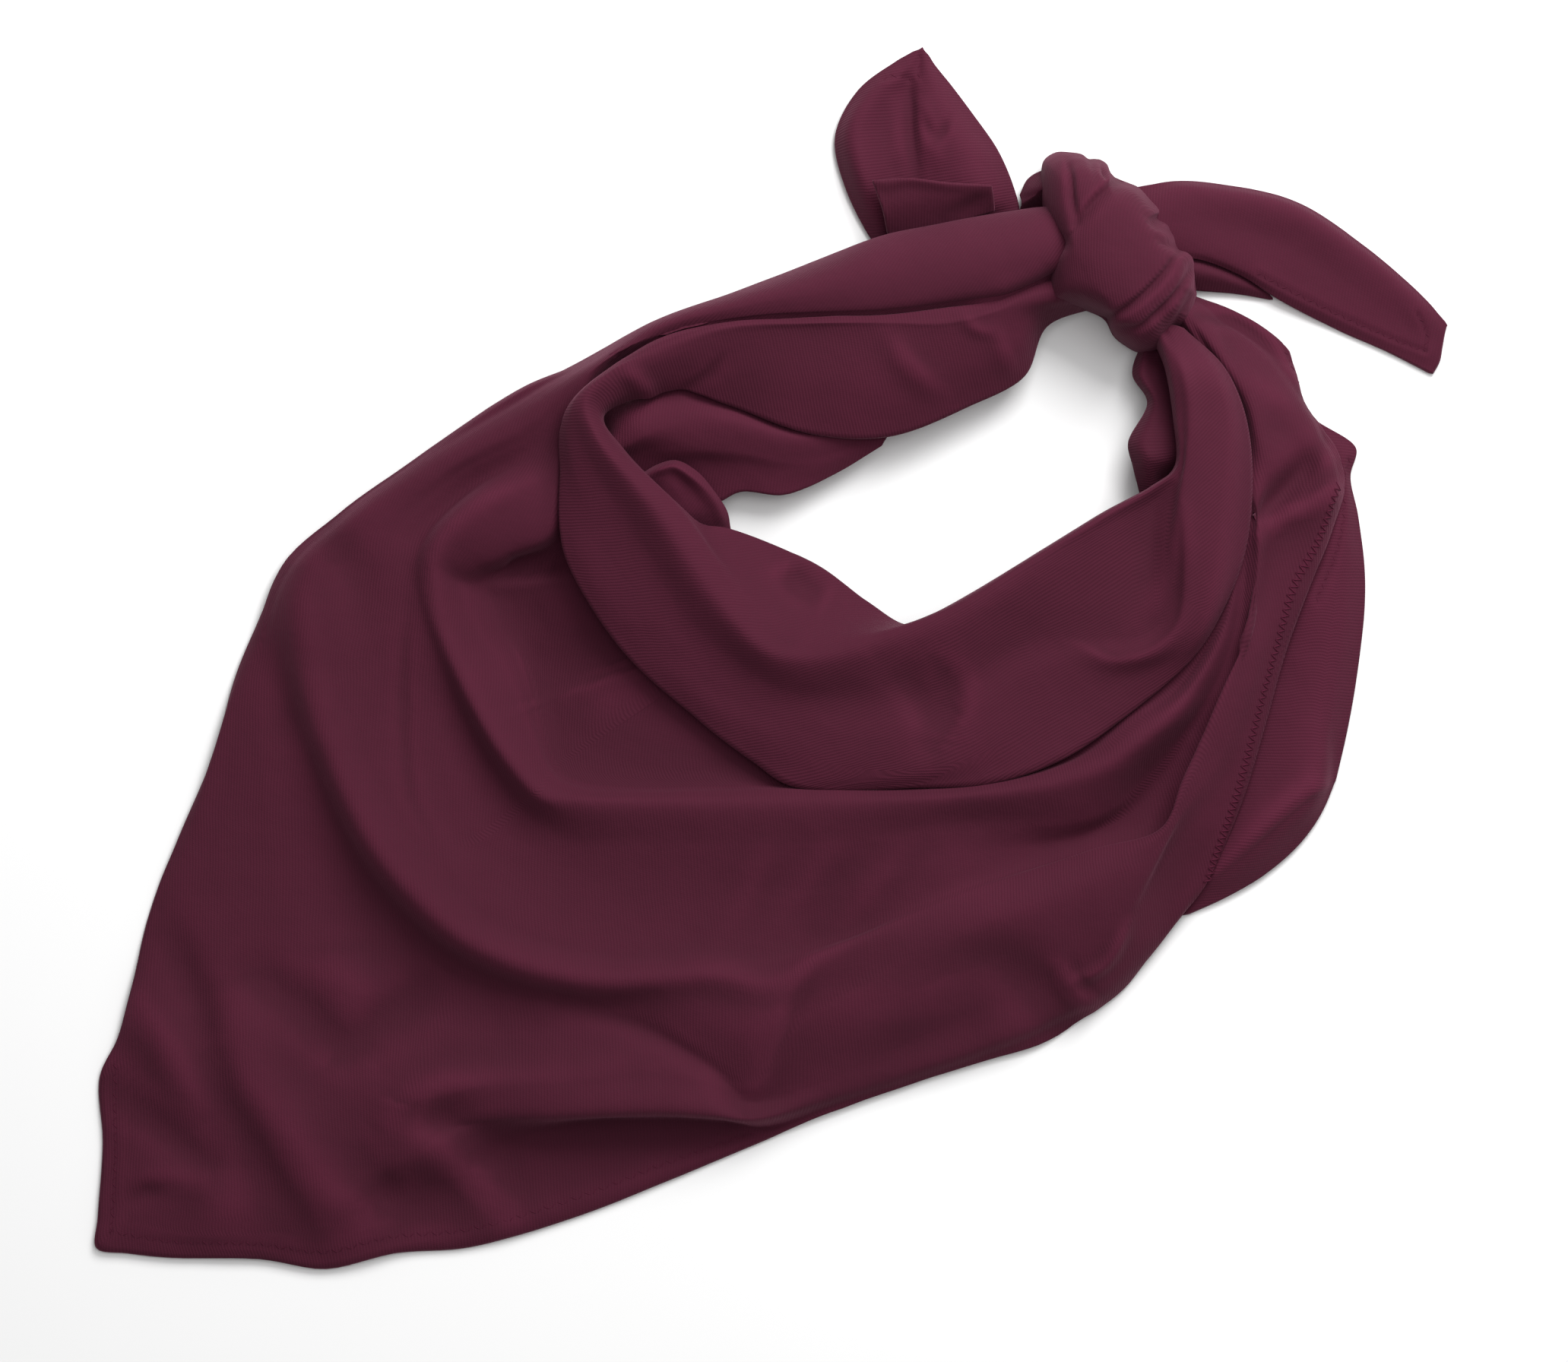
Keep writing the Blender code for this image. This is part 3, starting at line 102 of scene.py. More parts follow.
# The body, from the fold hidden under the neck band out to the edge that lies on the surface.
BODY = {
    "hidden edge": (
        (2.5, -46.5, 73.4, 12), (3.0, -50, 36, 12), (4.0, -42, 24, 12.4), (5.0, -31, 7, 11.6),
        (6.0, -20, -4, 11), (7.0, -5, -15, 11), (8.0, 12, -24, 11), (9.0, 70, -18, 11.4),
        (10.0, 103, -1, 11), (11.0, 117, 16, 11.4), (12.0, 120, 45, 11.4), (12.5, 116, 72, 8),
        (13.0, 108, 89.5, 3),
    ),
    "pocket floor": (
        (2.5, -47.6, 74.9, 17), (3.0, -57, 33.6, 9), (3.5, -71, 25.6, 5), (3.8, -76, 22.5, 6),
        (4.0, -77.4, 20, 6.4), (4.2, -76, 16.4, 5.6), (4.5, -72.4, 8, 4.6), (5.0, -66, -4, 4.8),
        (5.5, -63, -17, 7), (6.0, -58, -31, 9.6), (6.5, -50, -34.5, 10.6), (7.0, -38, -35.3, 11),
        (8.0, 12, -34.8, 11), (8.5, 50, -34, 11.4), (9.0, 80, -28.5, 11.4), (9.5, 97, -16, 11.6),
        (10.0, 110, -5, 11.8), (11.0, 121, 14, 12.6), (12.0, 124, 44, 12.6), (12.3, 121, 59, 11.4),
        (12.5, 118, 72, 9.4), (13.0, 108.6, 90.2, 6),
    ),
    "roll shoulder": (
        (2.5, -48.6, 76.4, 20.6), (3.0, -60, 35.4, 15), (3.5, -74, 28.2, 14),
        (3.8, -83, 25.2, 13.6), (4.0, -86.6, 21.6, 12), (4.2, -85.6, 16.6, 11.4),
        (4.5, -81.6, 8, 11), (5.0, -72, -7, 11.6), (5.5, -67, -20, 13), (6.0, -60, -33.6, 15),
        (6.5, -51, -37, 15.5), (7.0, -38, -37.3, 15), (8.0, 12, -36.8, 14.8), (8.5, 50, -36, 14.8),
        (9.0, 82, -29.9, 14.9), (9.5, 98, -19, 14.2), (10.0, 112, -8, 12), (11.0, 123, 12, 13),
        (12.0, 126, 43, 13.8), (12.3, 122.8, 59, 12.2), (12.5, 119.6, 72, 10.4),
        (13.0, 109.2, 91, 8),
    ),
    "roll": (
        (2.5, -49.2, 77.2, 21.8), (3.0, -60.6, 50, 17.6), (3.2, -67, 47, 18),
        (3.5, -79.6, 41.6, 18.4), (3.8, -89.6, 33, 17.6), (4.0, -92.8, 26, 17),
        (4.2, -92.4, 19, 16.6), (4.5, -91, 9, 16.6), (5.0, -82, -12, 18), (5.5, -73, -27, 18.5),
        (6.0, -62.6, -38, 18.5), (6.5, -51, -39.2, 18), (7.0, -38, -39.5, 17.5),
        (8.0, 12, -39.6, 17), (8.5, 50, -38.2, 17), (9.0, 84, -33, 17), (9.5, 101, -22.5, 16.5),
        (10.0, 114, -10, 15), (11.0, 125, 11, 14.6), (12.0, 127.5, 42, 14.2),
        (12.3, 124.4, 59, 12.6), (12.5, 121.2, 72, 11), (13.0, 109.8, 91.9, 9.6),
    ),
    "roll valley": (
        (2.5, -49.8, 78, 22.2), (3.0, -62.6, 58.2, 15.2), (3.5, -82.6, 46.2, 10.8),
        (4.0, -98, 28, 13.2), (4.4, -96.5, 11, 14.6), (5.0, -87.4, -13, 13.2),
        (5.5, -79, -29, 12.4), (6.0, -68, -43, 12.4), (6.5, -54, -51, 13), (7.0, -38, -51, 14.2),
        (8.0, 12, -51, 14.2), (8.5, 52, -46, 13.4), (9.0, 88, -43.5, 10.5), (9.5, 104, -32, 6.4),
        (10.0, 115, -18, 8.6), (11.0, 126.6, 5, 13), (12.0, 128.6, 41, 14.2),
        (12.3, 125.6, 58.8, 12.8), (12.5, 122.8, 72, 11.6), (13.0, 110.4, 92.9, 11.4),
    ),
    "apron": (
        (2.5, -50.3, 78.6, 21.6), (3.0, -65, 61.5, 16), (3.5, -87, 49.8, 12), (4.0, -107, 28, 12.6),
        (4.4, -108, 8, 13.4), (5.0, -98, -14.5, 12.6), (6.0, -78, -51, 11.8), (7.0, -42, -65, 12),
        (8.0, 12, -64, 11), (8.5, 50, -55, 12), (9.0, 87, -48.6, 6.4), (9.5, 105, -38, 4),
        (10.0, 116, -20.5, 7.5), (11.0, 127.6, 3.8, 13.2), (12.0, 129.6, 40.5, 14),
        (12.3, 126.6, 58.7, 12.8), (12.5, 124.2, 72, 12), (13.0, 111, 93.9, 13),
    ),
    "cowl rise": (
        (2.5, -50.8, 79.2, 20.4), (3.0, -66, 65, 17), (3.5, -90, 51.4, 13.2), (4.0, -118, 27, 12.6),
        (4.4, -123, 5, 13), (5.0, -113, -21, 14.4), (5.5, -102, -42.6, 15), (6.0, -91, -57, 15.2),
        (6.5, -74, -72.6, 15), (7.0, -46, -81, 13.6), (7.5, -17, -83, 12.4), (8.0, 12, -79.5, 10.6),
        (8.5, 50, -63.8, 12), (9.0, 87, -53.6, 8.4), (9.4, 108, -47.8, 6), (9.7, 114, -34.8, 7),
        (10.0, 120, -21.4, 9), (11.0, 128.6, 2.6, 14.6), (11.5, 131, 22, 15.2),
        (12.0, 131.6, 40, 15), (12.3, 127.8, 58.6, 12.8), (12.5, 125.6, 72, 12.4),
        (13.0, 111.6, 94.9, 15),
    ),
    "cowl": (
        (2.5, -51.3, 79.7, 18.4), (3.0, -67, 68, 16), (3.5, -93, 52.4, 12.8), (4.0, -126, 26.5, 12),
        (4.4, -130, 2, 13), (5.0, -121, -26, 16), (5.5, -111, -48, 17.4), (6.0, -99.4, -63, 17.8),
        (6.5, -81, -78.6, 17.6), (7.0, -51, -88, 16.2), (7.5, -18, -87.5, 14.8),
        (7.8, 0, -89, 14.4), (8.0, 12, -82.5, 14.6), (8.5, 50, -66.3, 14.4), (9.0, 87, -53.3, 13.2),
        (9.4, 106.6, -47, 17), (9.7, 112.6, -34, 17.4), (10.0, 118.8, -20.5, 17.4),
        (10.5, 125.5, -5, 18), (11.0, 130, 7, 18), (11.5, 133, 22, 17), (12.0, 133, 39.4, 16.6),
        (12.3, 130.4, 59, 13.2), (12.5, 127.4, 72, 13), (13.0, 112.2, 95.9, 15),
    ),
    "cowl foot": (
        (2.5, -51.7, 80.1, 15.6), (3.0, -67.5, 70.4, 13.4), (3.5, -95, 53, 11.4),
        (4.0, -129, 26.8, 9.6), (4.4, -138, 1, 8.5), (5.0, -126.6, -31, 10),
        (5.5, -116.6, -54, 9.4), (6.0, -105, -70, 9), (6.5, -86.4, -86, 9),
        (6.8, -70.4, -92.6, 9.4), (7.0, -54, -94.6, 11), (7.3, -37, -99, 10.4),
        (7.6, -19, -109.5, 9.6), (7.85, -6, -117.5, 8.8), (8.0, 7, -101, 10.4),
        (8.5, 50.6, -77, 16.6), (9.0, 85, -61.6, 17.4), (9.4, 105, -53, 17.4),
        (9.7, 113.5, -40, 17), (10.0, 122, -28, 16), (11.0, 134, 3, 15), (12.0, 137, 44, 14),
        (12.3, 133.4, 60, 16.4), (12.5, 130, 72, 16.4), (13.0, 112.7, 96.9, 14),
    ),
    "bib": (
        (2.5, -52.1, 80.5, 12.4), (3.0, -68, 72.3, 9.6), (3.5, -97, 53.5, 8.8),
        (4.0, -131, 27, 6.5), (4.4, -141.5, 0, 6.5), (5.0, -140, -38, 7.5), (5.5, -136, -75, 7.5),
        (6.0, -132, -108, 7.8), (6.5, -103, -121, 9.5), (6.8, -78, -117.5, 9.8),
        (7.0, -57, -117, 12), (7.3, -36, -114.5, 12), (7.6, -18, -117.5, 11), (7.85, -6, -122.5, 7),
        (8.0, 12, -117, 6.5), (8.5, 52, -99, 7.6), (9.0, 81, -87, 11.5), (9.4, 97, -75, 13),
        (9.7, 107, -58, 12.5), (10.0, 124, -34, 12.5), (11.0, 136.5, 2.6, 13), (12.0, 146, 47, 13),
        (12.3, 140.5, 64, 13), (12.5, 136, 76, 12.4), (13.0, 113.1, 97.9, 11.6),
    ),
    "lap edge": (
        (2.5, -52.5, 80.9, 9), (3.0, -68.5, 73.6, 9), (3.5, -98.4, 53.8, 6), (4.0, -132.3, 27.2, 5),
        (4.4, -144, -0.6, 5), (5.0, -152, -44, 5.5), (5.5, -160, -92, 6), (6.0, -160, -136, 5),
        (6.4, -122, -146, 6), (6.8, -84, -130, 10.6), (7.0, -57, -126.2, 12.8),
        (7.3, -35, -124.8, 13.2), (7.6, -18, -125.6, 12.2), (7.85, -5, -127, 9.6),
        (8.0, 15, -121.2, 5.5), (8.5, 54, -108.5, 6), (9.0, 87, -94.5, 7.5),
        (9.4, 102.5, -80.5, 7.5), (9.7, 113, -63, 8), (10.0, 126, -38.5, 10.5),
        (11.0, 139, 2.4, 11), (12.0, 153.5, 48, 13), (12.3, 146, 66, 8), (12.5, 141.6, 79, 7),
        (13.0, 113.4, 98.9, 8.4),
    ),
    "strip": (
        (2.5, -52.9, 81.3, 5), (3.0, -69, 74.6, 4.2), (3.5, -99.4, 54, 4), (4.0, -133.3, 27.6, 3.5),
        (4.4, -145.6, -1, 3.5), (5.0, -160, -47.5, 4.2), (5.5, -173, -97, 4),
        (5.8, -177.5, -132, 3), (6.0, -177, -154, 3), (6.4, -130, -158, 4), (6.8, -82, -140.4, 2.2),
        (7.0, -55, -129.6, 2), (7.3, -31, -128.2, 2), (7.6, -14, -128.6, 2), (7.85, -2, -129.6, 2),
        (8.0, 18, -123, 2.5), (8.5, 55.4, -111, 3), (9.0, 88.5, -97, 4), (9.4, 104.7, -82, 4),
        (9.7, 116.8, -64, 7), (10.0, 127.7, -40.5, 9.4), (11.0, 140.6, 2.2, 9.8),
        (12.0, 156, 47.6, 10.5), (12.3, 147.8, 66.2, 4.5), (12.5, 143.6, 79.7, 4),
        (13.0, 113.5, 99.9, 5),
    ),
    "edge": (
        (2.5, -53.2, 81.7, 1.8), (3.0, -69.5, 73.3, 1.8), (3.25, -84, 63.6, 1.8),
        (3.5, -100, 52.8, 1.8), (3.75, -117, 39.9, 1.8), (4.0, -131, 29.2, 1.8),
        (4.12, -135.3, 24.6, 1.8), (4.4, -147.3, -2.5, 1.8), (4.7, -153.8, -26.3, 2),
        (5.0, -163.7, -48.9, 2), (5.25, -171.7, -69.5, 2), (5.4, -177.8, -95.6, 2),
        (5.5, -180.9, -105.4, 2), (5.6, -185.5, -115, 2), (5.78, -184.7, -133.6, 1.8),
        (5.94, -186.1, -154, 1.8), (6.0, -186.4, -162.8, 1.8), (6.04, -178, -164.2, 1.8),
        (6.1, -165.8, -165.5, 1.8), (6.25, -142, -166.1, 1.8), (6.4, -123.6, -168.6, 1.8),
        (6.55, -105.1, -164.2, 1.8), (6.75, -83.5, -162.3, 1.8), (7.0, -53.2, -153.5, 1.8),
        (7.35, -28.7, -143.9, 1.8), (7.75, -4.5, -133.8, 1.8), (8.0, 19, -124.3, 1.8),
        (8.5, 56.5, -111.9, 1.8), (8.8, 76.8, -105.6, 1.8), (9.0, 89, -98, 1.8),
        (9.2, 97.3, -91.4, 1.8), (9.4, 105.7, -80.9, 1.8), (9.55, 113, -71.8, 4),
        (9.75, 119.5, -62.5, 6.4), (10.0, 128.6, -41.5, 8), (10.5, 136, -17, 8.4),
        (11.0, 141.4, 2, 8.4), (11.4, 148, 20, 8.6), (11.75, 154, 34, 8.8), (12.0, 157.2, 47, 8.8),
        (12.15, 155.4, 56.6, 6), (12.3, 148.6, 66.4, 2.5), (12.5, 144.6, 80, 1.8),
        (12.65, 141.4, 86.6, 1.8), (12.8, 134, 92, 1.8), (12.92, 123, 97, 1.8),
        (13.0, 113.5, 100.9, 1.8),
    ),
}
BODY_STATIONS = (
    0, 0.17, 0.33, 0.5, 0.75, 1, 1.25, 1.5, 1.75, 2, 2.25, 2.5, 2.75, 3, 3.25, 3.5, 3.75, 4, 4.12,
    4.25, 4.4, 4.7, 5, 5.2, 5.35, 5.5, 5.62, 5.78, 5.9, 5.96, 6, 6.04, 6.1, 6.25, 6.4, 6.55, 6.65,
    6.75, 6.88, 7, 7.2, 7.4, 7.6, 7.8, 8, 8.25, 8.5, 8.75, 9, 9.2, 9.4, 9.55, 9.75, 10, 10.33,
    10.67, 11, 11.4, 11.75, 12, 12.15, 12.3, 12.5, 12.7, 12.85, 13,
)
BODY_ACROSS = (1, 2, 2, 2, 2, 2, 2, 2, 3, 4, 3, 1)

# The neck band: the fold whose lip rings the hole, its front face and the roll up the right arm.
BAND = {
    "hole edge": (
        (0.0, 90, 96.5, 5), (0.4, 75.6, 91, 8), (0.7, 69.5, 77.5, 10), (1.0, 54, 69, 12),
        (1.4, 32, 60.8, 13.4), (1.7, 10, 61.6, 15), (2.0, -12, 69.3, 16.6), (2.4, -26, 73, 18.4),
        (3.0, -46, 66, 20), (3.4, -40.6, 57.2, 19.4), (4.0, -24.6, 40.8, 18),
        (4.2, -19.4, 36.6, 16.4), (4.4, -12, 35.4, 14.4), (5.0, 12, 25.4, 12.6),
        (5.4, 26, 15.4, 12), (5.8, 37, 8.9, 11), (6.0, 45, 12.4, 8), (6.5, 68, 25.8, 8),
        (7.0, 91, 39.8, 7), (7.3, 97.6, 43.4, 11), (7.6, 104, 47, 14.6), (8.0, 110, 52.4, 20.2),
        (9.0, 109.6, 66, 20.2), (9.5, 107.6, 79, 16), (10.0, 104.6, 87.4, 9),
    ),
    "inner face": (
        (0.0, 90, 97.4, 11), (0.4, 73.8, 94, 15), (0.7, 66, 85, 17.4), (1.0, 50, 78.5, 18.6),
        (1.4, 31, 75, 20), (1.7, 10, 76, 20.4), (2.0, -12, 79, 21.6), (2.4, -28, 77, 23),
        (3.0, -46.6, 66.6, 25), (3.4, -41, 57.2, 23.4), (4.0, -25, 40.8, 21.8),
        (4.4, -14.4, 28.6, 19.8), (5.0, 5.6, 14.4, 19.4), (5.4, 19, 10, 19), (5.8, 36.8, 9, 18),
        (6.0, 45, 12.2, 17), (6.5, 68, 25.7, 16), (7.0, 91, 39.7, 15), (7.6, 104, 46.9, 18),
        (8.0, 110.2, 52, 22.4), (9.0, 109.8, 66, 22.6), (9.5, 107.8, 79, 20),
        (10.0, 104.4, 88.6, 12),
    ),
    "lip": (
        (0.0, 90, 99.6, 17.4), (0.4, 71.6, 96.8, 20.2), (0.7, 60, 93, 22.2), (1.0, 47, 90, 23.4),
        (1.4, 30, 90, 24), (1.7, 10, 89.8, 24), (2.0, -12, 88, 25.6), (2.4, -31, 81.4, 27.4),
        (2.7, -41, 76, 28), (3.0, -48, 69, 27.6), (3.3, -44.6, 60, 27.2), (4.0, -26, 41, 25.8),
        (4.5, -11, 20, 25), (5.0, 3, 5.4, 24.8), (5.2, 9, 3, 25.8), (5.5, 21, 4.4, 25.6),
        (6.0, 45, 11.8, 25.6), (6.5, 68, 25, 25), (7.0, 91, 39, 24.5), (7.6, 104, 46.2, 22.5),
        (8.0, 110.4, 51.6, 24.6), (9.0, 110.4, 66, 25.4), (9.5, 108.4, 79, 24.4),
        (10.0, 104, 91, 15),
    ),
    "crown": (
        (0.0, 90, 102, 18.6), (0.4, 70.4, 98.8, 21), (0.7, 60, 94.4, 22.6), (1.0, 47, 91.4, 24),
        (1.4, 30, 91.6, 24.6), (1.7, 10, 91.3, 25), (2.0, -12.4, 90, 26.4), (2.4, -32, 83.3, 28),
        (2.7, -43.4, 78, 28.8), (3.0, -51, 70, 29.6), (3.3, -48.4, 60.6, 30),
        (4.0, -31.4, 39.5, 29.4), (4.5, -16.6, 17.4, 28.2), (5.0, -2, 1.8, 27.4),
        (5.2, 8, -0.6, 27.2), (5.5, 21, 1, 26.8), (6.0, 45, 9, 26.6), (6.5, 68, 22, 25.6),
        (7.0, 91, 35.6, 23.4), (7.6, 104.6, 42.6, 20), (8.0, 111.3, 49.6, 25), (9.0, 112, 66, 26.8),
        (9.5, 110, 79, 26.4), (10.0, 105, 91.5, 17),
    ),
    "groove": (
        (0.0, 90, 104, 17.4), (0.4, 69.6, 100.5, 20.2), (0.7, 60, 95.6, 22.2),
        (1.0, 47, 92.8, 23.7), (1.4, 30, 92.4, 24.2), (1.7, 10, 92, 24.6), (2.0, -13, 90.6, 26),
        (2.4, -33, 84.4, 27.4), (3.0, -54, 70, 27.6), (3.3, -52.6, 58.6, 26.6),
        (4.0, -39.2, 35.4, 24.6), (4.5, -24, 11, 23), (5.0, -4.6, -5.6, 21.8),
        (5.2, 8, -10.6, 21.2), (5.5, 20, -11, 20.6), (6.0, 44, -10, 20.2), (6.5, 70, 4, 18.8),
        (7.0, 91, 5.6, 18), (7.3, 99, 6, 18.4), (7.6, 105.6, 9.4, 19), (7.8, 109.6, 19, 20.4),
        (8.0, 111.8, 42, 26.2), (9.0, 114, 66, 28.4), (9.5, 112, 79, 27.6),
        (10.0, 106.5, 91.5, 16.6),
    ),
    "ridge": (
        (0.0, 90, 105, 16.4), (0.4, 69.2, 101.2, 19.7), (0.7, 59.8, 96.4, 22), (1.0, 47, 94, 23.4),
        (1.4, 30, 92.65, 24), (1.7, 10, 92.3, 24.3), (2.0, -13.2, 90.9, 25.8),
        (2.4, -33.4, 84.9, 27), (3.0, -55.2, 69.4, 25.4), (3.3, -55.4, 56, 24),
        (4.0, -45, 30, 21.6), (4.5, -30, 6, 20.2), (5.0, -10.4, -10.6, 19.4), (5.5, 21, -22, 18.8),
        (6.0, 48, -20, 18.8), (6.5, 72, -4, 18), (7.0, 91, 0.6, 18.6), (7.3, 99.6, 1, 19.6),
        (7.6, 108.4, 4.8, 20.6), (7.8, 113.4, 16, 22.4), (8.0, 114.8, 40, 26.6),
        (9.0, 118, 66, 27.4), (9.5, 115, 79, 26.8), (10.0, 108, 91.4, 17.6),
    ),
    "bulge": (
        (0.0, 90, 105.8, 15.6), (0.4, 69.1, 101.5, 19.2), (0.7, 59.7, 97, 21.6),
        (1.0, 47, 95, 23.1), (1.4, 30, 93, 23.8), (1.7, 10, 92.6, 23.9), (2.0, -13.3, 91.2, 25.2),
        (2.4, -33.7, 85.3, 26.4), (3.0, -56.2, 68.4, 23.4), (3.3, -57, 54, 21.4),
        (4.0, -51.6, 27, 19.2), (4.5, -36.4, 5, 18.2), (5.0, -16, -14, 17.8), (5.5, 20, -30, 17),
        (6.0, 50, -29, 17), (6.5, 74, -18, 16.2), (7.0, 97, -7, 16.5), (7.6, 113, 1, 18),
        (7.8, 119.4, 11, 21), (8.0, 123, 36, 24.6), (9.0, 125, 66, 24.6), (9.5, 120.5, 79, 24.4),
        (10.0, 111, 91, 16.8),
    ),
    "foot": (
        (0.0, 90, 106.4, 15), (0.4, 69, 101.7, 18.8), (0.7, 59.6, 97.6, 21.2),
        (1.0, 47, 95.6, 22.8), (1.4, 30, 93.6, 23.5), (1.7, 10, 92.8, 23.9),
        (2.0, -13.4, 91.5, 24.6), (2.4, -34, 85.8, 25.4), (3.0, -57, 66, 20.6),
        (3.3, -58.2, 50, 19.2), (3.7, -58.4, 36, 17.8), (4.0, -56, 25.5, 16.6),
        (4.5, -41, 1.8, 15.8), (5.0, -21, -16.6, 15.2), (5.3, -5, -28.8, 14.6),
        (5.5, 6, -35.6, 14.2), (6.0, 40, -35.8, 14.2), (6.3, 60, -34.4, 14.8),
        (6.7, 80.2, -27.4, 15), (7.0, 98.6, -14.8, 14.6), (7.6, 115.8, 0, 15),
        (7.8, 123.6, 12.6, 15.5), (8.0, 130.6, 33, 17), (9.0, 131, 62, 16.6), (9.5, 124.6, 79, 17),
        (10.0, 113, 90.4, 15),
    ),
}
BAND_STATIONS = (
    0, 0.2, 0.4, 0.55, 0.7, 0.85, 1, 1.2, 1.4, 1.7, 2, 2.2, 2.4, 2.6, 2.8, 3, 3.15, 3.3, 3.55, 3.8,
    4, 4.25, 4.5, 4.75, 5, 5.2, 5.4, 5.6, 5.8, 6, 6.25, 6.5, 6.75, 7, 7.3, 7.6, 7.8, 8, 8.33, 8.67,
    9, 9.25, 9.5, 9.75, 10,
)
BAND_ACROSS = (2, 2, 2, 2, 2, 2, 1)

# The inner roll lies in the ring at the foot of the neck band.
INNER_ROLL = {
    "back": (
        (0, -46.6, 58, 8), (0.3, -47, 66, 8.6), (0.6, -42, 72, 9.6), (1, -28, 78, 13),
        (2, -12, 75, 12), (3, 6, 68, 10.4), (4, 34, 65.4, 9),
    ),
    "rise": (
        (0, -44.4, 58.4, 17), (0.5, -38, 66, 18.4), (1, -25, 72, 15.8), (2, -12, 70, 14),
        (3, 6, 63.6, 12), (4, 33.2, 63.6, 9.4),
    ),
    "crest": (
        (0, -42.4, 57, 17), (0.5, -35, 61, 18.6), (1, -24.4, 65, 17.4), (2, -12, 65.4, 17),
        (3, 6, 60.6, 14.2), (4, 32.4, 62, 9.6),
    ),
    "crease": (
        (0, -42, 54.6, 13), (0.5, -34.4, 56.6, 13.8), (1, -22, 57, 14.6), (2, -9, 56.6, 14.2),
        (3, 7, 54, 11.8), (4, 31.6, 60.8, 9.5),
    ),
    "strip": (
        (0, -40, 51.4, 10), (0.5, -30, 52, 9.8), (1, -20, 53.4, 10.8), (2, -7, 52.8, 11.6),
        (3, 7.5, 51.4, 10.6), (4, 30.8, 59.6, 9.2),
    ),
    "hole edge": (
        (0, -36, 46, 5), (0.5, -26, 43, 5.4), (1, -16, 42.6, 7), (1.6, -9, 45.6, 8.6),
        (2.2, 2, 44.7, 8.8), (3, 9, 46.6, 8.4), (3.5, 18, 50.8, 7.6), (4, 30, 58.2, 8.8),
    ),
}

# The inner curl is the small loop where the hidden layer turns back on itself at the left.
INNER_CURL = {
    "outer foot": (
        (0, -36, 50.6, 11.5), (1, -31.8, 53, 12.3), (2, -26.6, 54.2, 12.9), (3, -20.8, 51.2, 12.5),
        (4, -15.6, 45.2, 10.2), (5, -12.4, 40, 7), (6, -11.6, 35, 4.4),
    ),
    "crest": (
        (0, -35, 49.6, 15.2), (1, -30.8, 51.6, 17), (2, -27, 52.4, 17), (3, -22.2, 49.6, 15.8),
        (4, -17, 44.6, 12.8), (5, -14.2, 39.4, 9), (6, -13.4, 35, 5.2),
    ),
    "brink": (
        (0, -34.6, 48, 14.6), (1, -30, 49.6, 15.4), (2, -27.4, 50, 15.2), (3, -24, 47.6, 13.9),
        (4, -19.4, 42.4, 11.8), (5, -16.6, 38.2, 8.6), (6, -16.6, 34, 5.2),
    ),
    "hollow": (
        (0, -35, 46.8, 13), (1, -30, 46.8, 14), (2, -27.6, 46.6, 14), (3, -25.4, 44.2, 13),
        (4, -22.2, 39.8, 11.2), (5, -19.4, 36.6, 8), (6, -18.4, 33.4, 5),
    ),
    "tucked": (
        (0, -37, 45, 11), (1, -32, 43.4, 12), (2, -30, 42, 12), (3, -28, 40.4, 11.6),
        (4, -25, 37, 10), (5, -22.6, 34.4, 7), (6, -20.4, 32, 4.6),
    ),
}

# The flaps beside the right arm's roll, on the hole side.
INNER_FLAP = {
    "hole edge": (
        (0, 102.6, 89, 5), (1, 99, 78, 8), (2, 103, 70.2, 9.6), (3, 97.7, 59, 12),
        (4, 99, 52.5, 12), (5, 100.8, 46, 9), (6, 102.4, 41, 6),
    ),
    "fold": (
        (0, 104, 88.4, 8.6), (1, 101.5, 78, 12.4), (2, 105, 70, 14), (3, 101.5, 59, 17),
        (4, 102.8, 54.6, 17.6), (5, 104, 47.6, 12), (6, 105, 42, 7),
    ),
    "dip": (
        (0, 105, 88, 7.6), (1, 105, 78, 11.4), (2, 107.4, 69.5, 14), (3, 106, 59.4, 17.2),
        (4, 107, 54.2, 17), (5, 107, 49, 11.2), (6, 107.6, 43.4, 7),
    ),
    "tucked": (
        (0, 106.6, 88, 5), (1, 111.4, 78, 10), (2, 112.6, 69.5, 13), (3, 113, 60, 16.2),
        (4, 113, 55.6, 15.4), (5, 112, 50.4, 10.4), (6, 111, 45, 7),
    ),
}

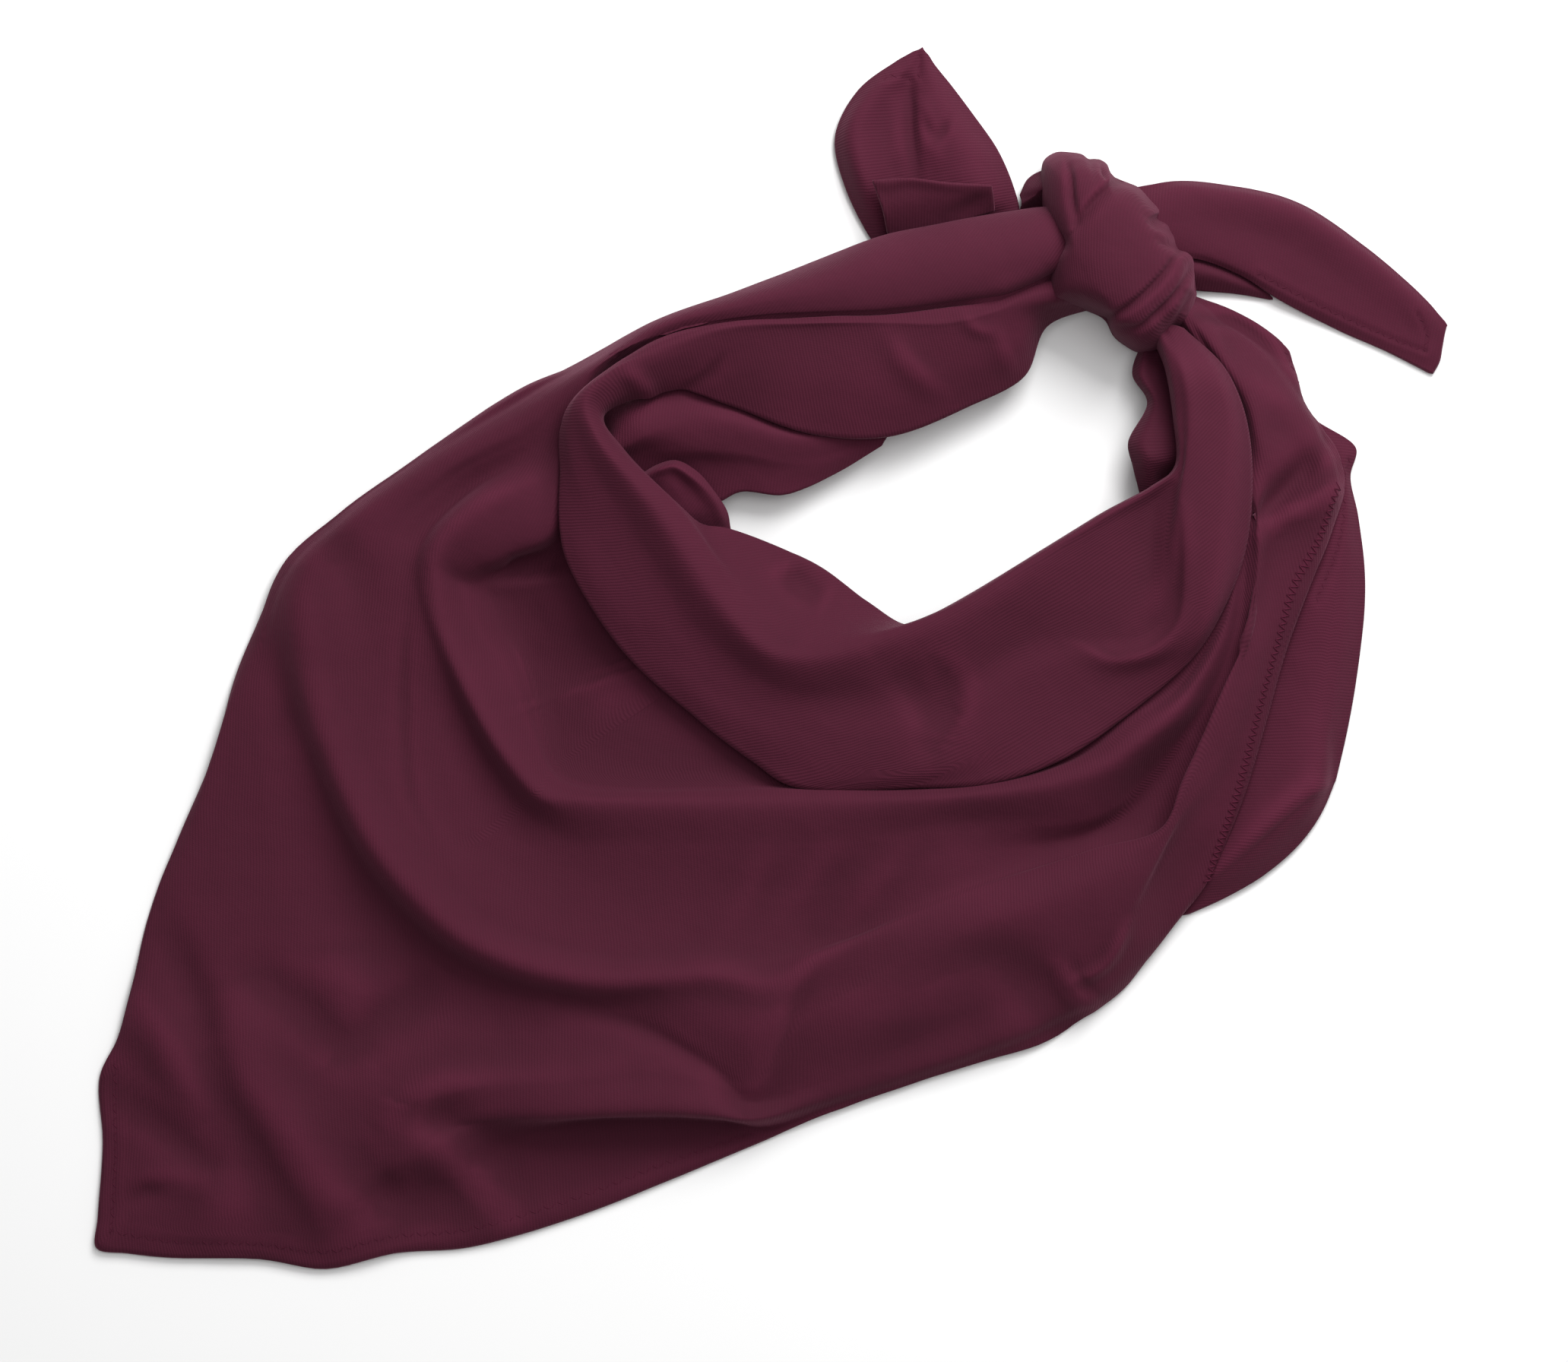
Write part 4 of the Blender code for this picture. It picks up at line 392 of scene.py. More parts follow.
# The layer that lies under the hemmed flank and shows beyond it at the right.
UNDER_LAYER = {
    "inner edge": (
        (0, 143.6, 61.6, 1.8), (0.3, 141, 55, 1.8), (1, 138, 38, 1.8), (2, 132, 15, 1.8),
        (3, 124, -8, 1.8), (4, 115, -32, 1.8), (5, 108, -60, 1.8),
    ),
    "bed": (
        (0, 145.8, 63.4, 2), (0.3, 147.6, 55, 3), (1, 146, 40, 3.5), (2, 141, 15, 3.5),
        (3, 133, -12, 3.5), (4, 124, -38, 2.6), (4.5, 118, -52, 2), (5, 110.5, -62, 1.8),
    ),
    "crown": (
        (0, 147.4, 64.8, 2), (0.3, 155.6, 56, 4.4), (1, 156.5, 40, 6.5), (2, 155, 16, 7),
        (3, 151, -12, 7.4), (3.5, 149, -36, 9.4), (4, 137, -46.6, 9.6), (4.5, 125.4, -57.4, 7),
        (5, 112, -66, 1.8),
    ),
    "edge": (
        (0, 148.6, 66, 1.8), (0.3, 161, 57.8, 1.8), (0.5, 159.7, 50, 1.8), (1, 161.9, 38.9, 1.8),
        (1.6, 163.8, 20.4, 1.8), (2.2, 161.9, -1.5, 1.8), (3, 157, -28, 1.8),
        (3.5, 152.6, -41.4, 1.8), (4, 145.6, -51.5, 1.8), (4.3, 135.8, -60, 1.8),
        (4.7, 124.6, -66.4, 1.8), (5, 113.4, -71, 1.8),
    ),
}

# The two ends that come out of the knot.
LEFT_TAIL = {
    "left edge": (
        (0, 33, 111, 1.8), (1, 28, 114.5, 1.8), (2, 19.3, 131.5, 2), (3, 17.3, 144, 2),
        (4, 23.5, 156.4, 2), (5, 34, 164.4, 2), (6, 38.8, 167.2, 2),
    ),
    "left fold": (
        (0, 37, 113, 2.6), (1, 32, 117.5, 4.5), (2, 24.5, 133, 9), (3, 22.5, 146, 8),
        (4, 28, 155.4, 6), (5, 36, 162, 4), (6, 40, 167.6, 2.2),
    ),
    "hollow": (
        (0, 46, 116, 2.6), (1, 42, 120.5, 4.5), (2, 34, 135, 5), (3, 33.4, 147, 4),
        (4, 35.5, 154.6, 3.6), (5, 39, 161, 3), (6, 41.2, 168, 2.3),
    ),
    "right fold": (
        (0, 58, 120, 3), (1, 58, 125, 8), (2, 54.5, 138, 8), (3, 49.5, 146.5, 7),
        (4, 45.5, 155, 5.5), (5, 43, 161.5, 4), (6, 42.3, 167, 2.2),
    ),
    "right edge": (
        (0, 68, 122, 3), (1, 67.3, 127.4, 2.4), (2, 62.6, 139.4, 2), (3, 55, 150.4, 2),
        (4, 49.3, 158, 2), (5, 44.6, 163.8, 2), (6, 43.2, 166, 2),
    ),
}
LEFT_ROOT = {
    "lower edge": (
        (0, 80, 121.4, 2.6), (1, 75, 120.8, 2.8), (2, 71.6, 120.4, 2.8), (3, 68.5, 120.2, 2.6),
    ),
    "foot": ((0, 80.4, 125.2, 6), (1, 75, 125, 5), (2, 71.6, 124.2, 4.2), (3, 68.6, 123, 3.2)),
    "crown": ((0, 81, 129.6, 15), (1, 75, 129, 13), (2, 71.6, 127, 9.6), (3, 68.5, 125.2, 5)),
    "upper edge": ((0, 81, 135, 6), (1, 74.8, 134.4, 5), (2, 70.4, 132, 3.6), (3, 68.1, 127.6, 3)),
}
LEFT_POCKET = {
    "foot": ((0, 32, 116, 6.4), (1, 41, 117.4, 7.8), (2, 51, 119.6, 8.2), (3, 61, 122.6, 8.2)),
    "face": (
        (0, 30.4, 123.4, 11.4), (1, 39.6, 125.6, 12.6), (2, 49.6, 126.2, 13), (3, 60.4, 127, 12.2),
    ),
    "crest": (
        (0, 27.6, 130.8, 12.4), (1, 37.6, 131.3, 13.8), (2, 48, 130.2, 14.4), (3, 60, 129.4, 13.2),
    ),
}
RIGHT_TAIL = {
    "upper edge": (
        (0, 99.6, 129.2, 8.6), (1, 111, 131.6, 5), (2, 122, 131.2, 3), (3, 144, 126.2, 1.8),
        (4, 164, 113.6, 1.8), (5, 180.4, 98.8, 1.8), (6, 185.9, 92, 1.8),
    ),
    "upper fold": (
        (0, 101.5, 122, 11.4), (1, 111.6, 129, 9.4), (2, 122.6, 128.4, 8.2), (3, 143.4, 123.6, 7),
        (4, 162.6, 111.4, 5.8), (5, 179, 97, 4), (6, 185.4, 89.6, 2),
    ),
    "middle": (
        (0, 102, 117, 12), (1, 114, 119, 9.8), (2, 126, 118, 7.8), (3, 143.6, 112, 6),
        (4, 159, 102, 4.8), (5, 175.6, 91, 3.2), (6, 184.6, 86, 2),
    ),
    "lower fold": (
        (0, 102, 111.6, 10.4), (1, 115, 112, 8.4), (2, 128, 107.6, 6.4), (3, 142, 100.4, 4.6),
        (4, 156, 93.6, 3.4), (5, 173, 86, 2.6), (6, 183.8, 82, 2),
    ),
    "lower edge": (
        (0, 102, 108.6, 9), (1, 115.4, 110, 7), (2, 128, 105.8, 4.8), (3, 140, 98.6, 3.4),
        (4, 154, 91.4, 1.8), (5, 171, 84, 1.8), (6, 182, 78.7, 1.8),
    ),
}
TAIL_LAYER = {
    "upper edge": (
        (0, 109, 113, 2.6), (1, 117, 112, 2.2), (2, 128, 107.6, 1.8), (3, 137, 101.4, 1.5),
    ),
    "middle": ((0, 109, 107, 7.4), (1, 117, 107, 6.3), (2, 128, 103.7, 4), (3, 137.4, 100, 2)),
    "lower edge": (
        (0, 109, 102, 2.6), (1, 118, 101.2, 2.2), (2, 128, 100.4, 1.8), (3, 137.8, 98.8, 1.5),
    ),
}


# Folds laid into the cloth: half width on the left and on the right of the line, then places
# along it with the height at each (a valley's is negative).
BODY_FOLDS = {
    "long ridge": (
        10.0, 8.6, (-151, -90, 0.4), (-148, -103, 2.4), (-143, -118, 3.8), (-135, -130, 4.2),
        (-128, -142, 4), (-120, -152, 3.4), (-111, -163, 1.2),
    ),
    "valley beside it": (
        5.0, 7.0, (-158, -96, -0.2), (-154, -108, -0.8), (-150, -120, -1), (-142, -133, -1),
        (-134, -147, -0.9), (-126, -158, -0.3),
    ),
    "left valley": (
        6.0, 6.0, (-168, -70, -0.6), (-163, -84, -2.4), (-157, -98, -2), (-154, -106, -0.6),
    ),
    "left ridge": (
        5.0, 5.5, (-176, -92, 0.6), (-169, -104, 2.2), (-160, -120, 1.4), (-156, -128, 0.3),
    ),
    "corner valley": (
        5.0, 4.5, (-183, -119, -0.8), (-171, -128, -1.8), (-158, -138, -1.2), (-150, -143, -0.2),
    ),
    "corner ridge": (4.5, 4.0, (-176, -143, 0.4), (-168, -143.5, 1.4), (-158, -144, 0.6)),
    "corner crease": (2.6, 2.6, (-179, -151, -0.2), (-173, -147.6, -0.9), (-166, -145.6, -0.3)),
    "arrow valley left": (
        8.0, 6.5, (-150, -82, -0.4), (-139, -90, -1.8), (-128, -98, -2.3), (-121, -103, -1.8),
        (-116.6, -106.5, -1.2),
    ),
    "arrow valley right": (
        6.5, 8.0, (-116.6, -106.5, -1.2), (-113, -103.5, -1.8), (-108, -100, -2.3), (-100, -95, -2),
        (-92, -86, -0.4),
    ),
    "arrow lobe": (9.0, 9.0, (-118, -80, 0.6), (-118, -90, 2), (-118, -97, 1.8)),
    "low dent": (6.5, 6.5, (-112, -143, -1.4), (-107, -147, -2.6), (-102, -151, -1)),
    "lower ridge": (
        6.0, 7.5, (-108, -131, 0.3), (-103, -126, 1.5), (-96, -121, 3), (-84, -118.4, 3.2),
        (-68, -117.6, 2), (-52, -116.6, 1.2), (-38, -113, 0.5),
    ),
    "deep valley": (
        8.0, 6.0, (-97, -125, -1.6), (-90, -128, -3.8), (-78, -131, -3.4), (-62, -128.6, -1),
        (-50, -126, -0.2),
    ),
    "lower lobe": (6.5, 6.5, (-95, -133, 1.0), (-89, -139, 3), (-82, -146, 2.6), (-75, -153, 0.8)),
    "bib slack": (9.0, 9.0, (-150, -140, 0.3), (-150, -150, 1.4), (-149, -160, 0.5)),
    "left dent": (8.0, 6.0, (-121, 36, -0.5), (-117, 27, -1.6), (-113, 17, -1.3), (-110, 6, -0.3)),
    "left outer dent": (
        6.0, 6.0, (-140, 12, -0.4), (-137, 0, -1.4), (-134, -14, -1.2), (-134, -26, -0.3),
    ),
    "left outer ridge": (
        6.0, 6.0, (-131, 24, 0.5), (-129, 12, 1.3), (-126, -4, 0.8), (-122, -18, 0.2),
    ),
    "left faint crease": (
        1.6, 2.6, (-100, 14, -0.1), (-101, -4, -0.4), (-99, -38, -0.35), (-93, -50, -0.1),
    ),
    "apron streak left": (3.6, 4.6, (0, -50, 0.1), (-5, -60, 0.5), (-12, -75, 0.2)),
    "apron streak middle": (3.6, 4.6, (18, -50, 0.1), (11, -60, 0.45), (2, -72, 0.15)),
    "apron streak right": (3.6, 4.6, (40, -48, 0.1), (30, -60, 0.5), (20, -72, 0.2)),
    "belly hump": (7.0, 7.0, (22, -101, 0.3), (34, -97.6, 0.9), (48, -96, 0.9), (60, -95, 0.3)),
    "belly arc": (
        9.0, 7.0, (30, -88, -0.4), (40, -84, -1), (52, -81.6, -1.4), (63, -83, -1.8),
        (72, -90, -2.2), (79, -100, -1.2),
    ),
    "belly v left": (
        1.8, 2.2, (79, -84, 0.6), (81.6, -89.6, 2), (84.6, -93.4, 1.9), (88.6, -96, 0.5),
    ),
    "belly v right": (
        1.8, 2.2, (83.6, -88.4, 0.5), (88, -86.6, 1.6), (92, -83, 1.8), (95, -78, 1.7),
        (97.4, -72.6, 0.5),
    ),
    "flank hollow": (
        3.0, 4.0, (150.6, 58.6, -0.8), (146, 51.6, -2.8), (140.4, 45, -3.2), (134, 36.6, -1.6),
    ),
    "flank ridge": (
        4.6, 4.6, (128, 79, 0.5), (138, 71.6, 1.6), (147, 63, 2.2), (152, 56.6, 1.8),
        (154.6, 51, 0.4),
    ),
    "flank lower ridge": (
        2.6, 4.0, (130, 34, 0.6), (135, 36.6, 2), (140, 39, 2.6), (147, 41.6, 2.6), (153, 46, 1.6),
        (155, 49, 0.4),
    ),
    "flank soft ridge": (5.0, 5.0, (131, 42, 0.4), (136, 51, 1.2), (142, 61, 0.3)),
    "fan ridge": (
        3.0, 3.6, (117, 97, 0.4), (126, 95.6, 1), (134, 91.4, 1.1), (141, 84, 0.9),
        (146, 73.6, 0.7), (149.4, 66.4, 0.3),
    ),
    "fan ridge low": (2.6, 3.0, (115, 94.6, 0.3), (120, 89.6, 0.8), (124, 80, 0.7), (130, 66, 0.2)),
    "fan groove": (
        1.6, 2.0, (117, 94, -0.5), (128, 92.2, -1.5), (137, 85.6, -1.5), (143.6, 76, -1),
        (149.4, 66, -0.3),
    ),
    "flank groove": (2.6, 3.6, (136, 28, -0.3), (133, 15, -1.1), (130.4, 5, -0.9), (127, -8, -0.2)),
    "arm fold near knot": (
        3.0, 3.6, (50, 93.4, 0.2), (56, 96, 1.2), (64, 100, 1.7), (71, 103.2, 1.5),
        (76, 106.4, 0.4),
    ),
    "roll front crest": (
        3.4, 4.4, (60, -36, 0.2), (80, -32, 0.7), (92, -29, 0.9), (98, -23.4, 0.9), (104, -18.2, 1),
        (111, -14.4, 1), (118, -9, 0.6), (124.4, 5, 0.2),
    ),
    "hump above crest": (
        1.8, 11.0, (-61, -12, 0.2), (-55, -9.6, 1), (-46, -7.4, 1.2), (-36, -3, 1), (-30, -4, 0.4),
    ),
    "roll edge": (
        4.6, 2.8, (-58, 59.6, 0.3), (-70, 50.8, 1), (-80, 44, 1.1), (-90, 34.8, 1.1),
        (-95, 25, 0.8), (-94.4, 17, 0.7), (-88.6, 2, 0.6), (-81.6, -14, 0.7), (-73.6, -28, 0.7),
        (-63, -38.6, 0.3),
    ),
    "cowl crest": (
        4.4, 3.6, (-128, -8, 0.3), (-124, -24, 0.8), (-114, -46, 1.1), (-101, -64.6, 1.3),
        (-82, -80.6, 1.4), (-52, -89.6, 1.4), (-32, -88, 1.2), (-16, -86.6, 1.4), (0, -89.6, 0.8),
        (18, -80, 0.3),
    ),
    "second line": (
        2.4, 3.4, (-57, -95, -0.3), (-38, -101, -1), (-22, -110, -1.1), (-12, -117, -0.4),
    ),
    "pocket crease": (
        2.6, 1.1, (-71.4, 26, -0.3), (-70.6, 16, -0.9), (-68.6, 4, -1), (-65.4, -8, -0.8),
        (-61, -24, -0.4), (-58.6, -33, -0.1),
    ),
    "pocket shade": (
        3.4, 3.4, (-73, 22.6, -0.4), (-68, 24.4, -2), (-62, 25.6, -2), (-57, 26.4, -0.6),
    ),
    "fan crease": (
        1.4, 2.0, (118, 100.4, -0.3), (128, 97.4, -1), (139, 89.4, -1.1), (145.4, 78, -0.8),
        (149, 66.6, -0.2),
    ),
    "belly shoulder": (
        9.0, 15.0, (-34, -99, 0.4), (-18, -102, 1.6), (0, -102, 1.9), (20, -97, 1.9),
        (36, -92, 0.6),
    ),
}
BAND_FOLDS = {
    "front groove": (
        7.0, 9.0, (-44, 50, -0.2), (-34, 28, -0.6), (-20, 8, -0.6), (-2, -9, -0.6), (14, -14, -0.5),
        (28, -12, -0.3),
    ),
    "patch hollow": (7.0, 4.6, (32, -3, -0.4), (39, -9, -1.6), (43.6, -16, -1.8), (44, -22, -0.8)),
    "patch edge": (1.6, 6.0, (43, 2, -0.1), (49.4, -6, -1), (50.4, -15, -1.2), (46.4, -23, -0.3)),
    "turn bump": (2.6, 2.6, (-41, 79, 0.3), (-37.4, 76.4, 1.2), (-34, 72.4, 1.2), (-32, 68.6, 0.3)),
    "turn line": (
        1.4, 2.0, (-34, 68.4, -0.2), (-26, 72.4, -0.6), (-18, 77.6, -0.8), (-14, 82.4, -0.2),
    ),
    "face light left": (3.0, 3.6, (32, 88.4, 0.3), (37.6, 80.4, 1.3), (47, 72, 0.3)),
    "face light right": (2.4, 2.8, (61.6, 89, 0.2), (64, 83, 0.9), (67, 77, 0.1)),
    "lip curl": (2.0, 2.0, (52.6, 93.4, 0.2), (55.6, 90.2, 1), (61.6, 88.8, 0.2)),
    "patch dent": (4.0, 4.6, (4, 25.6, -0.3), (7, 21.6, -2.2), (11, 18.6, -2), (15, 16.4, -0.3)),
    "turn filler": (
        3.6, 4.4, (108, 47, 0.2), (108.6, 38, 1.2), (108.6, 28, 1.5), (106.4, 18, 1.1),
        (101, 11, 0.3),
    ),
    "turn rim": (
        2.8, 1.3, (111.6, 48, 0.3), (113.2, 36, 0.8), (113.6, 24, 1), (111.6, 9, 1),
        (103.6, 1.4, 1), (93, -0.8, 0.9), (84, 3.4, 0.2),
    ),
}
RIGHT_TAIL_FOLDS = {
    "tail hollow": (
        6.0, 7.0, (120, 120, -0.3), (138, 116, -0.6), (150, 110, -0.5), (162, 102, -0.3),
        (172, 94, -0.1),
    ),
}
LEFT_TAIL_FOLDS = {
    "vertical crease": (
        1.7, 2.0, (37.5, 160, -0.5), (38, 152, -1.6), (38.4, 143, -1.6), (40, 132, -0.4),
    ),
    "left of crease": (
        3.4, 2.6, (33, 157, 0.3), (33.4, 150, 0.9), (33.6, 141, 0.8), (34, 135, 0.1),
    ),
    "right of crease": (
        2.6, 4.0, (41.4, 156, 0.2), (42.4, 149, 1.1), (44.4, 141, 0.9), (47, 134, 0.1),
    ),
    "notch left": (1.5, 1.7, (41.4, 150, -0.2), (43.6, 145, -0.9), (45, 142.4, -0.3)),
    "notch right": (1.5, 1.7, (49, 148.6, -0.2), (46.6, 144.6, -0.9), (45, 142.4, -0.3)),
}
LEFT_POCKET_FOLDS = {
    "crest roll": (
        1.7, 2.0, (27, 133, 0.4), (30, 130.6, 0.8), (38, 131.5, 0.9), (48, 130, 0.9),
        (60, 129.4, 0.5),
    ),
    "valley to the knot": (2.6, 2.6, (60, 127, -0.4), (54.6, 124, -1), (48, 121, -0.2)),
}
ROOT_FOLDS = {
    "gather": (1.2, 1.4, (68, 126, -0.2), (73, 127.6, -0.7), (79, 128.4, -0.4)),
}
UNDER_FOLDS = {
    "turn-under line": (
        1.3, 5.5, (153.4, -35, 0.4), (147, -37.4, 1.4), (139.4, -43.4, 1.7), (130, -52, 1.6),
        (121, -60, 0.5),
    ),
    "upper glow": (5.0, 5.0, (149, 26, 0.3), (148.4, 16, 1), (145.4, 2, 0.4)),
}
NO_FOLDS = {}

# Knot: a broad rounded face and the bands that cross it, with the creases between them.
KNOT_FOLDS = {
    "between upper wraps": (
        1.3, 1.3, (80.8, 138, 0), (81.2, 134, -1.6), (81.4, 126, -2), (82.8, 118.4, -0.6),
    ),
    "face upper edge": (
        1.1, 2.6, (82.7, 118, -0.7), (86.6, 123.2, -1.8), (91, 128, -2), (95, 131.2, -0.8),
    ),
    "beside upper wrap": (1.2, 1.3, (90, 137, -0.6), (91, 133, -1.6), (91.8, 130.4, -0.4)),
    "right bump upper": (
        1.6, 1.6, (102.4, 120.6, -0.4), (105.4, 118.4, -1.2), (108.6, 117.2, -0.6),
    ),
    "right bump lower": (1.6, 1.6, (105, 114.6, -0.3), (108.6, 113.2, -1.1), (112, 113.6, -0.6)),
    "first band": (
        1.1, 1.3, (112, 112, -0.5), (107, 104.4, -1.5), (100, 97.4, -1.8), (95, 94, -1.6),
        (91, 93, -0.4),
    ),
    "second band": (
        1.0, 1.2, (115, 107, -0.5), (110, 98.4, -1.5), (104, 92.4, -1.6), (100, 89.8, -1.2),
        (95, 90.4, -0.3),
    ),
    "third band": (1.1, 1.3, (117, 103, -0.4), (112.4, 93.6, -1.2), (109, 88.8, -0.6)),
}
KNOT_EDGE = (
    # the knot's outline on the table: (x, y)
    (117.0, 100.0), (116.3, 105.0), (115.5, 110.0), (112.5, 112.5), (111.0, 115.0), (109.0, 119.0),
    (106.0, 121.0), (106.4, 123.0), (104.0, 126.0), (101.0, 129.4), (99.0, 130.5), (93.6, 133.0),
    (92.0, 136.0), (90.0, 137.4), (87.0, 137.0), (85.0, 138.4), (82.0, 139.0), (78.0, 139.0),
    (75.0, 137.0), (74.2, 134.4), (74.2, 126.0), (76.0, 119.0), (79.0, 113.5), (76.5, 108.0),
    (75.3, 103.0), (76.0, 98.0), (80.0, 97.0), (86.5, 95.5), (91.5, 93.0), (94.0, 88.5),
    (97.0, 86.0), (101.0, 84.0), (106.0, 85.0), (110.0, 89.0), (114.5, 92.5),
)
KNOT_TOP = (92.5, 110.5)
KNOT_HEART = 12.0  # height of the middle of the knot
KNOT_RADIUS = 18.0
KNOT_COLUMNS = 240
KNOT_ROWS = 89
KNOT_ROUNDING = 24  # columns over which the upper rings are smoothed, each way
KNOT_PLAIN = 5.0  # below this height the knot has no creases
KNOT_ROUND = 0.62  # share of the way out from the top where the rings are still round
KNOT_BLEND = 0.34  # share of it over which they take up the outline
KNOT_BUMPS = ((14.0, 0.45), (6.0, 0.12))  # size and height in mm
KNOT_SEED = 3.1
KNOT_WEAVE_SHIFT = (0.6, -0.4)  # of the weave, for each mm of height
KNOT_PROFILE = (
    # share of the way out from the top, height
    (0.0, 32.8), (0.22, 32.6), (0.45, 31.9), (0.65, 30.4), (0.8, 27.4), (0.9, 22.4), (0.965, 15.0),
    (1.0, 7.0), (0.97, 2.0), (0.86, 0.3), (0.4, 0.1), (0.0, 0.1),
)

# Hem lines: the piece's name, the stitch's name, then places along it in plan.
HEMS = {
    "flank braid": (
        "body", "braid", (155.5, 47), (150, 32), (143.5, 20), (139.5, 6), (135.3, -9), (131.4, -24),
        (127.4, -39), (122.3, -54), (119.4, -63),
    ),
    "flank upper stitches": ("body", "overlock", (141.6, 84), (144.4, 78), (148, 69.6)),
    "left bib stitches": (
        "body", "overlock", (-181.4, -113), (-181.6, -124), (-181.4, -137), (-182.4, -158),
    ),
    "bottom bib stitches": (
        "body", "overlock", (-182.4, -158.4), (-165.8, -161.2), (-142, -161.8), (-123.6, -164),
        (-106, -160), (-84.6, -158), (-54.8, -149.4), (-30.4, -140), (-6, -131.4),
    ),
    "under layer stitches": (
        "under_layer", "overlock", (159, 54.6), (157.6, 49), (157.4, 39), (155.6, 30), (150, 16),
    ),
    "left tail stitches": ("left_tail", "overlock", (31, 159.6), (34.6, 160.4), (38, 159.4)),
    "left tail end stitches": ("left_tail", "overlock", (40.6, 166), (40.4, 160.4)),
    "right tail stitches": (
        "right_tail", "overlock", (134, 105.6), (143, 101), (155, 95.2), (171, 88), (180, 84.6),
    ),
    "right tail end stitches": ("right_tail", "overlock", (180, 84.6), (180.6, 89), (178, 95)),
}
HEM_RELIEF = {
    # width and height of each rise along the line
    "braid": ((1.5, 0.5),),
    "overlock": ((0.9, -0.3), (2.8, 0.25)),
}
STITCH_SIZES = ("Pitch", "Length", "Thickness", "Slant")
STITCHES = {
    # pitch, length and thickness in mm, slant in degrees
    "braid": (1.05, 3.0, 0.5, 66.0),
    "overlock": (2.0, 1.9, 0.24, 40.0),
}
STITCH_LINE_STEPS = 12  # between two places on a hem line
STITCH_LIFT = 0.02  # from the cloth's face to the middle of a thread


class Value:
    """One socket's value. Arithmetic on it adds Math nodes to its network."""

    def __init__(self, network, socket):
        self.network = network
        self.socket = socket

    def _with(self, operation, *values):
        return self.network.node("ShaderNodeMath", {"operation": operation}, dict(enumerate(values)))

    def __add__(self, other):
        return self._with("ADD", self, other)

    def __radd__(self, other):
        return self._with("ADD", other, self)

    def __sub__(self, other):
        return self._with("SUBTRACT", self, other)

    def __mul__(self, other):
        return self._with("MULTIPLY", self, other)

    def __rmul__(self, other):
        return self._with("MULTIPLY", other, self)

    def modulo(self, other):
        return self._with("MODULO", self, other)

    def sine(self):
        return self._with("SINE", self)


class Network:
    """A tree of nodes under construction."""

    def __init__(self, tree):
        self.tree = tree

    def node(self, kind, settings=None, inputs=None, output=0):
        """Adds a node, sets it up, and gives one of its outputs."""
        made = self.tree.nodes.new(kind)
        for name, value in (settings or {}).items():
            setattr(made, name, value)
        for name, value in (inputs or {}).items():
            self.put(made.inputs[name], value)
        return Value(self, made.outputs[output])

    def put(self, socket, value):
        """A link where the value comes from a node, and a setting where it is a number."""
        if isinstance(value, Value):
            self.tree.links.new(value.socket, socket)
        else:
            socket.default_value = value


class Finish(Network):
    """A material under construction."""

    def __init__(self, name):
        self.material = bpy.data.materials.new(name)
        self.material.use_nodes = True
        super().__init__(self.material.node_tree)
        self.shader = self.tree.nodes["Principled BSDF"]

    def cloud(self, place, scale, detail, roughness=0.5):
        """Smooth noise, with so many bumps to the metre."""
        inputs = {"Vector": place, "Scale": scale, "Detail": detail, "Roughness": roughness}
        return self.node("ShaderNodeTexNoise", {}, inputs)

    def scaled(self, colour, tone):
        """A colour made lighter or darker by a value."""
        return self.node("ShaderNodeVectorMath", {"operation": "SCALE"}, {0: colour, "Scale": tone})

    def relief(self, height, strength, depth, **over):
        """Fine relief, so many millimetres deep, over the relief given as Normal."""
        inputs = {"Height": height, "Strength": strength, "Distance": depth * MM, **over}
        return self.node("ShaderNodeBump", {}, inputs)

    def surface(self, **inputs):
        """Sets the surface's inputs and gives the material."""
        for name, value in inputs.items():
            self.put(self.shader.inputs[name.replace("_", " ")], value)
        return self.material


def twill(name, tone_and_painted_light):
    """Cotton twill: diagonal wales on the cut of the cloth, floats along them, crests coloured lighter for
    wear and as painted highlight, and hollows darker as painted shade.
    """
    cloth = Finish(name)
    cut = cloth.node("ShaderNodeUVMap", {"uv_map": "cut"})
    over = cloth.node("ShaderNodeSeparateXYZ", {}, {0: cut}, "X")
    up = cloth.node("ShaderNodeSeparateXYZ", {}, {0: cut}, "Y")
    drift = cloth.cloud(cut, 55.0, 1.0)
    slub = cloth.cloud(cut, 900.0, 2.0)
    mottle = cloth.cloud(cut, 22.0, 3.0)
    rumple = cloth.cloud(cut, 130.0, 3.0, 0.55)
    # Mask that lightens crests (wear and painted highlight) and darkens hollows (painted shade).
    wear_and_shade = cloth.node("ShaderNodeAttribute", {"attribute_name": "wear_and_shade"}, output="Fac")
    turn = 2 * math.pi
    phase = over * (turn / (WALE * MM)) + drift * 9.0
    wale = phase.sine() * 0.5 + 0.5
    floats = (up * (turn / (FLOAT * MM)) + phase * 0.5).sine() * 0.5 + 0.5
    weave = wale * (0.72 + 0.28 * floats)
    grain = 0.90 + 0.13 * mottle + 0.10 * (weave - 0.5) + 0.10 * (slub - 0.5)
    fibre = cloth.relief(weave + 0.35 * slub, 0.55, 0.14)
    return cloth.surface(
        # Each piece's dye is scaled lighter or darker: painted light and shade, with the reverse face's
        # own tone in it.
        Base_Color=cloth.scaled(tuple(channel * tone_and_painted_light for channel in PLUM), grain * (1.0 + 0.22 * wear_and_shade)),
        Roughness=0.80 + 0.12 * slub,
        Normal=cloth.relief(rumple, 0.30, 0.9, Normal=fibre),
        Specular_IOR_Level=0.16,
        Sheen_Weight=0.16,
        Sheen_Roughness=0.45,
        Sheen_Tint=(0.62, 0.22, 0.34, 1.0),
    )


